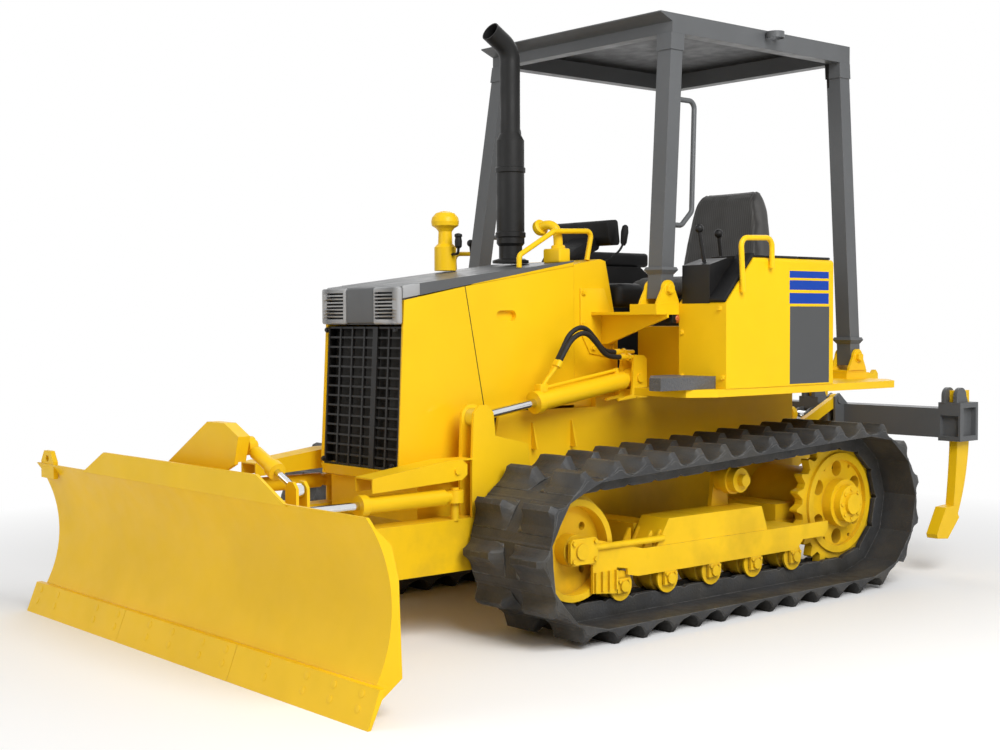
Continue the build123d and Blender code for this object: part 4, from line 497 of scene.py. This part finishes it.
CLOTH_STEPS = 18
SHOULDER, CROWN = 1.5, 1.868          # the heights where the backrest starts to narrow and ends
CROWN_SHARE = 0.46                    # how wide it still is at its top
CUSHION_SEAM, BACK_SEAM = 0.19, 0.222
PAD_REAR, PAD_FOOT = 1.16, 1.35       # the pads are plain behind and below these
CUSHION_OUTLINE = [(0.655, 1.325), (0.648, 1.372), (0.672, 1.404), (0.75, 1.412), (1.03, 1.385),
                   (1.1, 1.372), (1.1, 1.325)]
BACK_OUTLINE = [(1.06, 1.4), (1.07, 1.44), (1.092, 1.6), (1.112, 1.76), (1.124, 1.82),
                (1.15, 1.852), (1.176, 1.84), (1.186, 1.74), (1.17, 1.5), (1.15, 1.405),
                (1.11, 1.385)]
SHELL_OUTLINE = [(1.16, 1.42), (1.19, 1.7), (1.196, 1.79), (1.206, 1.78), (1.202, 1.68),
                 (1.176, 1.38), (1.13, 1.318), (0.66, 1.318), (0.66, 1.305), (1.14, 1.305),
                 (1.15, 1.35)]


def modified(piece, kind, **settings):
    """Adds a modifier to the active piece and applies it."""
    bpy.ops.object.modifier_add(type=kind)
    modifier = piece.modifiers[-1]
    for name, value in settings.items():
        setattr(modifier, name, value)
    bpy.ops.object.modifier_apply(modifier=modifier.name)


def puffed(piece, voxel=0.009, pressure=3.0, most=0.012):
    """Blows a closed shape up as filled cloth, no point further than a limit, and smooths it."""
    piece.data.remesh_voxel_size = voxel
    bpy.ops.object.voxel_remesh()
    rest = [vertex.co.copy() for vertex in piece.data.vertices]
    bpy.ops.object.modifier_add(type="CLOTH")
    cloth = piece.modifiers[-1]
    cloth.settings.use_pressure = True
    cloth.settings.uniform_pressure_force = pressure
    cloth.settings.effector_weights.gravity = 0
    cloth.settings.tension_stiffness = 25
    for step in range(1, CLOTH_STEPS + 1):
        bpy.context.scene.frame_set(step)
    bpy.ops.object.modifier_apply(modifier=cloth.name)
    for vertex, start in zip(piece.data.vertices, rest):
        moved = vertex.co - start
        if moved.length > most:
            vertex.co = start + moved * (most / moved.length)
    bpy.context.scene.frame_set(1)
    modified(piece, "SMOOTH", factor=0.5, iterations=4)


def seamed(piece, seam, depth=0.006, width=0.006):
    """Draws the cover in along a sewn line at either side of the middle."""
    normals = [vertex.normal.copy() for vertex in piece.data.vertices]
    for vertex, normal in zip(piece.data.vertices, normals):
        off = (abs(vertex.co.x) - seam) / width
        if abs(off) < 3:
            vertex.co -= normal * depth * math.exp(-off * off)


def taper(height):
    """The backrest's share of its full width: it narrows slowly and then in a round arch."""
    rise = min(1, max(0, (height - SHOULDER) / (CROWN - SHOULDER)))
    arch = 0.38 * (1 - rise) + 0.62 * math.sqrt(1 - rise ** 4 * 0.98)
    return CROWN_SHARE + (1 - CROWN_SHARE) * arch


def covered(pad, name, seam):
    """Smooths a pad and covers it: ribbed in the middle, and plain at its sides, back and foot."""
    pick(pad)
    modified(pad, "SUBSURF")
    pad.data.materials.clear()
    pad.data.materials.append(VINYL)
    pad.data.materials.append(BOLSTER)
    for face in pad.data.polygons:
        x, y, z = face.center
        plain = abs(x) > seam * taper(z) or y > PAD_REAR or z < PAD_FOOT
        face.material_index = 1 if plain else 0
    done(pad, name, None, "tractor", 60)


def seat():
    """Cushion and backrest in ribbed vinyl."""
    cushion = plate(CUSHION_OUTLINE, -0.232, 0.232, 0.028)
    puffed(cushion)
    seamed(cushion, CUSHION_SEAM)
    back = plate(BACK_OUTLINE, -0.268, 0.268, 0.026)
    puffed(back)
    seamed(back, BACK_SEAM)
    for vertex in back.data.vertices:
        vertex.co.x *= taper(vertex.co.z)
    covered(cushion, "seat_cushion", CUSHION_SEAM)
    covered(back, "seat_backrest", BACK_SEAM)
    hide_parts("seat")


def seat_base():
    """Plastic shell under and behind the pads, on a black stand with sunk panels."""
    shell = plate(SHELL_OUTLINE, -0.17, 0.17, 0.004)
    done(shell, "seat_shell", PLASTIC, "tractor")
    stand = block((-0.19, 0.68, 0.943), (0.19, 1.15, 1.302), 0.012, 3)
    edit("DESELECT")
    leave()
    for face in stand.data.polygons:
        face.select = face.area > 0.05 and abs(face.normal.z) < 0.5
    bpy.ops.object.mode_set(mode="EDIT")
    bpy.ops.mesh.inset(thickness=0.035, depth=-0.008)
    leave()
    done(stand, "seat_stand", BLACK, "tractor")


# Nose

MASK_FRONT, MASK_BACK = -1.083, -1.0605
MASK_FOOT, MASK_TOP = 1.2045, 1.348
LOUVRES = 8
LOUVRE_FOOT, LOUVRE_PITCH, LOUVRE_GAP = 1.2245, 0.0139, 0.0078
LOUVRE_INNER, LOUVRE_OUTER = 0.106, 0.222
LOUVRE_DEPTH = 0.017


def lamp_housings():
    """A pale lamp housing at either side, cut by dark louvres."""
    housing = block((0.094, MASK_FRONT, MASK_FOOT), (0.2605, MASK_BACK, MASK_TOP), 0.009, 3)
    cuts = [LOUVRE_FOOT + index * LOUVRE_PITCH for index in range(LOUVRES)]
    edit()
    for level in cuts + [cut + LOUVRE_GAP for cut in cuts]:
        bpy.ops.mesh.select_all(action="SELECT")
        bpy.ops.mesh.bisect(plane_co=(0, 0, level), plane_no=(0, 0, 1))
    for side in (LOUVRE_INNER, LOUVRE_OUTER):
        bpy.ops.mesh.select_all(action="SELECT")
        bpy.ops.mesh.bisect(plane_co=(side, 0, 0), plane_no=(1, 0, 0))
    leave()
    for face in housing.data.polygons:
        x, y, z = face.center
        level = any(cut < z < cut + LOUVRE_GAP for cut in cuts)
        face.select = level and LOUVRE_INNER < x < LOUVRE_OUTER and y < MASK_FRONT + 0.001
    housing.data.materials.append(PALE)
    housing.data.materials.append(PLASTIC)
    bpy.ops.object.mode_set(mode="EDIT")
    bpy.ops.mesh.extrude_region_move(TRANSFORM_OT_translate={"value": (0, LOUVRE_DEPTH, 0)})
    housing.active_material_index = 1
    bpy.ops.object.material_slot_assign()
    leave()
    both(housing, "lamp_housing", None, "tractor")


def mask_surround():
    """The dark centre between the lamps, and the pale wings that turn on to the hood's sides."""
    low = (-0.0935, MASK_FRONT + 0.005, MASK_FOOT + 0.004)
    centre = block(low, (0.0935, MASK_BACK, MASK_TOP - 0.001), 0.007, 3)
    done(centre, "mask_centre", GREY, "tractor")
    wing = plate([(-1.0605, 1.3035), (-0.976, 1.3175), (-0.976, 1.3625), (-1.052, 1.3535),
                  (-1.0605, 1.346)], 0.2495, 0.2612, 0.003)
    both(wing, "mask_wing", PALE, "tractor")


def radiator():
    """The finned core behind the grille, and black sheets at its sides: painted shade over the hood's
    yellow inner sides.
    """
    core = plate([(-1.046, 0.645), (-1.018, 1.196), (-0.99, 1.196), (-1.018, 0.645)],
                 -0.247, 0.247, 0.003)
    done(core, "radiator_core", CORE, "tractor")
    # Painted shade: thin black sheets inside the hood's sides, behind the grille
    side_shade = plate([(-1.076, 0.645), (-1.05, 1.192), (-1.016, 1.192), (-1.042, 0.645)],
                  0.2472, 0.2492, 0.0005)
    both(side_shade, "radiator_side_shade", BLACK, "tractor")


def cover_strips():
    """The yellow edge of each side cover that shows below the hood's top."""
    strip = plate([(-0.72, 1.3594), (-0.72, 1.3622), (-0.1612, 1.4614), (-0.1612, 1.4449)],
                  0.2566, 0.2614, 0.0004)
    both(strip, "cover_strip", YELLOW, "tractor")


def grille_bolts():
    """A bolt at each corner of the grille, which leans back as it rises."""
    bolts = []
    for y, z in ((-1.0735, 1.182), (-1.0955, 0.66)):
        for x in (-0.232, 0.232):
            bolts.append(bolt((x, y, z), (0, -1, 0), 0.009))
    done(joined(bolts), "grille_bolts", BLACK, "tractor")


# Hood and dash

def filler():
    """The coolant filler: a neck, an elbow that turns to the middle, and a cap."""
    neck = block((0.146, -0.232, 1.459), (0.25, -0.168, 1.52), 0.008, 3)
    elbow = pipe([(0.197, -0.19, 1.515), (0.198, -0.19, 1.57), (0.19, -0.2, 1.612),
                  (0.15, -0.215, 1.626), (0.118, -0.22, 1.612)], 0.02)
    cap = turned([(0.028, 0), (0.034, 0.004), (0.035, 0.022), (0.03, 0.03), (0.012, 0.032)],
                 (0.128, -0.218, 1.617), (-1, 0, -0.45))
    collar = turned([(0.03, 0), (0.03, 0.012), (0.024, 0.016)], (0.197, -0.19, 1.519))
    done(joined([neck, elbow, cap, collar]), "filler", YELLOW, "tractor")


def dust_gauge():
    """The small gauge beside the air intake, on its stem."""
    stem = pipe([(-0.138, -0.497, 1.5), (-0.105, -0.497, 1.5), (-0.094, -0.497, 1.506),
                 (-0.094, -0.497, 1.53)], 0.006)
    bulb = turned([(0.008, 0), (0.015, 0.008), (0.016, 0.03), (0.013, 0.046), (0.017, 0.05),
                   (0.016, 0.06), (0.006, 0.064)], (-0.094, -0.497, 1.524))
    done(joined([stem, bulb]), "dust_gauge", PLASTIC, "tractor")


def binnacle():
    """The instrument panel on its column."""
    panel = plate([(0.15, 1.556), (0.14, 1.58), (0.128, 1.646), (0.14, 1.656), (0.19, 1.66),
                   (0.2, 1.652), (0.2125, 1.562), (0.205, 1.548), (0.162, 1.548)],
                  -0.168, 0.168, 0.005)
    column = plate([(-0.05, 1.4712), (-0.03, 1.5), (0.03, 1.532), (0.15, 1.59), (0.19, 1.585),
                    (0.168, 1.53), (0.06, 1.486), (-0.006, 1.4786)], -0.07, 0.08, 0.006)
    stood = done(joined([panel, column]), "binnacle", PLASTIC, "tractor")
    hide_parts("dash")


def dash_lever():
    """The lever at the dash's left, with its grip."""
    shaft = pipe([(0.2, 0.026, 1.462), (0.2, 0.07, 1.464), (0.202, 0.13, 1.492),
                  (0.204, 0.185, 1.53), (0.204, 0.196, 1.56)], 0.005)
    grip = turned([(0.008, 0), (0.014, 0.012), (0.017, 0.06), (0.013, 0.085), (0.006, 0.091)],
                  (0.204, 0.195, 1.545), (0, 0.15, 1))
    done(joined([shaft, grip]), "dash_lever", PLASTIC, "tractor")


def gauges():
    """Three dials with bright rims, the middle one larger."""
    rims, dials = [], []
    facing = (0, 1, 0.139)
    for x, radius in ((-0.1, 0.026), (0, 0.032), (0.1, 0.026)):
        place = (x, 0.206, 1.605)
        rim, inner = radius + 0.006, radius - 0.006
        rims.append(turned([(radius, 0), (rim, 0.002), (rim, 0.008), (radius, 0.011)],
                           place, facing, 32))
        dials.append(turned([(inner, 0), (inner, 0.0118), (radius - 0.012, 0.0122)],
                            place, facing, 32))
    done(joined(rims), "gauge_rims", BRIGHT, "tractor")
    done(joined(dials), "gauge_dials", GLASS, "tractor")


# Cab

# Bolts on each side: place, direction and size
BRACKET_BOLTS = [((0.269, y, z), (1, 0, 0), 0.012)
                 for y, z in ((-0.112, 1.335), (-0.112, 1.2), (-0.056, 1.1), (0.06, 1.1))]
POST_BOLTS = [((0.6432, 0.012, 1.345), (1, 0, 0), 0.021),
              ((0.6602, 1.285, 1.042), (1, 0, 0), 0.021)]
BOX_BOLTS = [((x, 0.0688, z), (0, -1, 0), 0.009)
             for x, z in ((0.866, 1.262), (0.884, 0.985), (0.664, 1.165), (0.664, 0.985))]


def post_brackets():
    """Side plates that carry the front posts' shelves, and the cab's bolts."""
    side = plate([(-0.128, 1.17), (-0.128, 1.352), (0.012, 1.352), (0.094, 1.162), (0.094, 1.05),
                  (-0.072, 1.075)], 0.2625, 0.269, 0.0015)
    both(side, "bracket_plate", YELLOW, "tractor")
    bolts = [bolt(*at) for at in BRACKET_BOLTS + POST_BOLTS + BOX_BOLTS]
    both(joined(bolts), "cab_bolts", YELLOW, "tractor")


def marker_lamps():
    """An amber lamp in its holder, under each front post's shelf."""
    lens = turned([(0.017, 0), (0.019, 0.006), (0.019, 0.03), (0.015, 0.04), (0.006, 0.044)],
                  (0.627, 0.052, 1.225), (0.25, 0.95, -0.1))
    both(lens, "marker_lens", AMBER, "tractor")
    holder = block((0.606, 0.03, 1.204), (0.645, 0.058, 1.2495))
    both(holder, "marker_holder", PLASTIC, "tractor")


def cab_fittings():
    """The box under the dash lever, the side boxes' trays, the armrest, the mats and the cap."""
    box = block((0.1, 0.075, 1.272), (0.3, 0.235, 1.376), 0.03, 4)
    done(box, "control_box", PLASTIC, "tractor")
    tray = plate([(0.0705, 1.2865), (0.0635, 1.2935), (0.0635, 1.302), (0.236, 1.489),
                  (0.249, 1.489), (0.249, 1.4725), (0.2428, 1.4722)], 0.8135, 0.8945, 0.002)
    both(tray, "box_tray", PLASTIC, "tractor")
    rest = block((-0.515, 0.5, 1.4785), (-0.335, 0.93, 1.548), 0.018, 4)
    done(rest, "armrest", PLASTIC, "tractor")
    mats = [block((0.66, front, 1.4713), (0.888, back, 1.482), 0.004)
            for front, back in ((0.25, 0.545), (0.556, 0.764))]
    both(joined(mats), "box_top_mat", PLASTIC, "tractor")
    cap = turned([(0.05, 0), (0.05, 0.014), (0.056, 0.018), (0.056, 0.036), (0.05, 0.042),
                  (0.014, 0.044)], (-0.77, 0.42, 1.482))
    done(cap, "fuel_cap", PLASTIC, "tractor")


# Lift cylinders' oil lines

HOSE_DIAMETER = 0.021
HOSE_LENGTHS = (0.445, 0.44)
HOSE_ROUTES = (((0.384, -0.374, 1.051), (0.384, -0.344, 1.096), (0.384, -0.3, 1.168),
                (0.384, -0.222, 1.196), (0.384, -0.155, 1.14), (0.384, -0.118, 1.098),
                (0.384, -0.078, 1.083), (0.384, -0.028, 1.082)),
               ((0.414, -0.386, 1.05), (0.414, -0.358, 1.092), (0.414, -0.312, 1.148),
                (0.414, -0.24, 1.172), (0.414, -0.172, 1.12), (0.414, -0.136, 1.08),
                (0.414, -0.09, 1.062), (0.414, -0.028, 1.062)))
PIPE_TURNS = (0.074, 0.05)            # how far back each pipe runs before it turns to the cowl


def hoses():
    """Two hoses from each lift cylinder to the cowl."""
    for side, hand in ((1, "left"), (-1, "right")):
        for number, (route, length) in enumerate(zip(HOSE_ROUTES, HOSE_LENGTHS)):
            points = [(side * x, y, z) for x, y, z in route]
            hose, path = tube(points, HOSE_DIAMETER / 2)
            hose.name = f"hose_{number}_{hand}"
            hose.data.materials.append(RUBBER)
            for face in hose.data.polygons:
                face.use_smooth = True
            hose.select_set(False)
            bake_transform(hose)


def hose_elbows():
    """The fittings on each lift cylinder, where its hoses start."""
    pieces = []
    for x, y, z in (route[0] for route in HOSE_ROUTES):
        pieces.append(pipe([(0.386, -0.458, 0.945), (0.39, -0.446, 0.968),
                            ((x + 0.386) / 2, y - 0.035, z - 0.05), (x, y - 0.004, z - 0.006)],
                           0.009))
        pieces.append(turned([(0.0115, 0), (0.014, 0.002), (0.014, 0.026), (0.0125, 0.03)],
                             (x, y - 0.014, z - 0.022), (0, 0.55, 0.83), 12))
    pieces.append(block((0.366, -0.482, 0.926), (0.406, -0.44, 0.962), 0.005))
    both(joined(pieces), "hose_elbows", YELLOW, "lift_barrel_{}")


def oil_pipes():
    """The rigid pipes between the hoses' far ends and the cowl, with their nuts."""
    pieces = []
    for route, turn in zip(HOSE_ROUTES, PIPE_TURNS):
        x, _, z = route[-1]
        pieces.append(pipe([(x, -0.03, z), (x, turn - 0.02, z), (x, turn, z), (x - 0.02, turn, z),
                            (0.268, turn, z)], 0.0085))
        pieces.append(turned([(0.0125, 0), (0.0145, 0.002), (0.0145, 0.026), (0.0115, 0.03)],
                             (x, -0.04, z), (0, 1, 0), 12))
        pieces.append(turned([(0.016, 0), (0.016, 0.014), (0.013, 0.016)],
                             (x, 0.004, z), (0, 1, 0), 6))
    both(joined(pieces), "oil_pipes", YELLOW, "tractor")


# Tracks

# The chain's pins as (y, z): up behind the sprocket, forward, down the front and back on the ground
PINS = ((1.3664, 0.3945), (1.3188, 0.5389), (1.2030, 0.6375), (1.0531, 0.6622), (0.9012, 0.6553),
        (0.7494, 0.6484), (0.5976, 0.6414), (0.4457, 0.6345), (0.2939, 0.6275), (0.1420, 0.6206),
        (-0.0098, 0.6137), (-0.1617, 0.6067), (-0.3135, 0.5998), (-0.4653, 0.5929),
        (-0.6172, 0.5859), (-0.7601, 0.5341), (-0.8442, 0.4075), (-0.8367, 0.2557),
        (-0.7405, 0.1381), (-0.5934, 0.1000), (-0.4414, 0.1000), (-0.2894, 0.1000),
        (-0.1374, 0.1000), (0.0146, 0.1000), (0.1666, 0.1000), (0.3186, 0.1000), (0.4706, 0.1000),
        (0.6226, 0.1000), (0.7746, 0.1000), (0.9266, 0.1000), (1.0786, 0.1000), (1.2259, 0.1378),
        (1.3321, 0.2465))
BELT_MIDDLE = 0.675                   # half the distance between the tracks' middles
CLEAT_FOOT = -0.0436
CLEAT_OUTLINE = [(0.0125, CLEAT_FOOT), (0.0312, -0.0598), (0.0415, -0.0826), (0.0482, -0.0992),
                 (0.0722, -0.0992), (0.0902, -0.0782), (0.1142, -0.0572), (0.1475, -0.0441)]


def lobe(start, end, start_slope, end_slope, start_share, end_share):
    """One half of a shoe's cleat: a ridge over the plate that falls away at both ends."""
    ridge = plate(CLEAT_OUTLINE, start, end, 0.0004)
    for place in (start + start_slope, end - end_slope):
        edit()
        bpy.ops.mesh.bisect(plane_co=(place, 0, 0), plane_no=(1, 0, 0))
        leave()
    for vertex in ridge.data.vertices:
        share = 1
        if vertex.co.x < start + 0.001:
            share = start_share
        if vertex.co.x > end - 0.001:
            share = end_share
        vertex.co.z = CLEAT_FOOT + (vertex.co.z - CLEAT_FOOT) * share
    edit()
    bpy.ops.mesh.dissolve_limited(angle_limit=math.radians(1))
    outwards()
    leave()
    return ridge


def cleats():
    """The cleats of both belts, set round the loop from pin to pin."""
    shoe = joined([lobe(0.03, 0.2235, 0.03, 0.016, 0.12, 0.62),
                   lobe(-0.2235, -0.03, 0.016, 0.03, 0.62, 0.12)])
    ring = []
    for (y, z), (ahead_y, ahead_z) in zip(PINS, PINS[1:] + PINS[:1]):
        again = copied(shoe)
        again.rotation_mode = "XYZ"
        again.rotation_euler = (math.atan2(ahead_z - z, ahead_y - y), 0, 0)
        again.location = (BELT_MIDDLE, y, z)
        settle()
        ring.append(again)
    bpy.data.objects.remove(shoe)
    both(joined(ring), "cleats", TRACK, "tractor")


# Blade

PLOW_BOLT_PLACES = (-1.165, -1.0, -0.64, -0.46, -0.2, -0.03, 0.19, 0.35, 0.62, 0.85, 1.0, 1.15)
EDGE_FOOT, EDGE_LEAN = -1.9335, 0.3856      # the cutting edge's front at the ground, and its lean


def plow_bolts():
    """Round heads of the cutting edge's bolts, in pairs."""
    heads = []
    for x in PLOW_BOLT_PLACES:
        for rise in (-0.022, 0.022):
            z = 0.072 + rise
            heads.append(turned([(0.014, -0.002), (0.0135, 0.0012), (0.011, 0.0018)],
                                (x, EDGE_FOOT + EDGE_LEAN * z, z), (0, -0.933, 0.36), 20))
    done(joined(heads), "plow_bolts", YELLOW, "blade")


# Studio

WHITE = (1, 1, 1, 1)
SKY = 0.36                            # light from all round
FLOOR_FADE = (2.1, 4.6)               # where the floor starts to melt into white, and where it ends
LAMPS = (("key", (5.8, -1.6, 5.2), 445, 4), ("fill", (-2, -7.5, 2.6), 120, 5),
         ("back", (-4, 5, 5), 110, 5))
LAMP_TARGET = (0, 0, 0.8)


def camera():
    """The viewpoint: round from the front to the left, and low."""
    yaw, pitch, roll = math.radians(49.18), math.radians(2.16), math.radians(0.22)
    lens = bpy.data.cameras.new("camera")
    lens.sensor_width = 36
    lens.lens = 53.17
    eye = bpy.data.objects.new("camera", lens)
    bpy.context.scene.collection.objects.link(eye)
    eye.location = (4.7745, -4.4706, 1.2225)
    eye.rotation_mode = "XYZ"
    eye.rotation_euler = (math.pi / 2 - pitch, roll, yaw)
    bpy.context.scene.camera = eye


def floor():
    """A pale floor that holds the shadow, and melts into white further out."""
    bpy.ops.mesh.primitive_plane_add(size=60, location=(0, 0, 0))
    ground = bpy.context.object
    ground.name = "floor"
    paint = bpy.data.materials.new("floor_white")
    paint.use_nodes = True
    tree = paint.node_tree
    shader = tree.nodes["Principled BSDF"]
    shader.inputs["Roughness"].default_value = 0.8
    shader.inputs["Specular IOR Level"].default_value = 0.0
    path = wire(tree, "LightPath", {}).outputs
    seen = maths(tree, "MAXIMUM", path["Is Camera Ray"], path["Is Glossy Ray"])
    tone = mixed(tree, seen, (0.8, 0.8, 0.8), (0.98, 0.98, 0.98))
    tree.links.new(tone, shader.inputs["Base Color"])
    place = wire(tree, "TexCoord", {}).outputs["Object"]
    away = wire(tree, "VectorMath", {0: place}, operation="LENGTH").outputs["Value"]
    share = maths(tree, "MULTIPLY", ranged(tree, away, *FLOOR_FADE, 0, 1), seen)
    glow = wire(tree, "Emission", {"Color": WHITE, "Strength": 1.0}).outputs["Emission"]
    layers = {"Fac": share, 1: shader.outputs["BSDF"], 2: glow}
    blend = wire(tree, "MixShader", layers).outputs["Shader"]
    tree.links.new(blend, tree.nodes["Material Output"].inputs["Surface"])
    ground.data.materials.append(paint)


def surroundings():
    """White all round for the eye and for reflections, and dimmer as a light."""
    world = bpy.data.worlds.new("studio")
    bpy.context.scene.world = world
    world.use_nodes = True
    tree = world.node_tree
    backdrop = tree.nodes["Background"]
    backdrop.inputs["Color"].default_value = WHITE
    path = wire(tree, "LightPath", {}).outputs
    seen = maths(tree, "MAXIMUM", path["Is Camera Ray"], path["Is Transmission Ray"])
    seen = maths(tree, "MAXIMUM", seen, path["Is Glossy Ray"])
    tree.links.new(ranged(tree, seen, 0, 1, SKY, 1), backdrop.inputs["Strength"])


def lamps():
    """Three soft lamps turned to the machine."""
    for name, place, power, size in LAMPS:
        light = bpy.data.lights.new(name, "AREA")
        light.energy = power
        light.size = size
        lamp = bpy.data.objects.new(name, light)
        lamp.location = place
        bpy.context.scene.collection.objects.link(lamp)
        lamp.rotation_mode = "QUATERNION"
        lamp.rotation_quaternion = (Vector(place) - Vector(LAMP_TARGET)).to_track_quat("Z", "Y")


camera()
hoses()
hose_elbows()
oil_pipes()
seat()
seat_base()
lamp_housings()
mask_surround()
radiator()
cover_strips()
grille_bolts()
filler()
dust_gauge()
binnacle()
dash_lever()
gauges()
post_brackets()
marker_lamps()
cab_fittings()
plow_bolts()
cleats()
floor()
surroundings()
lamps()
bpy.context.scene.view_settings.view_transform = "Standard"
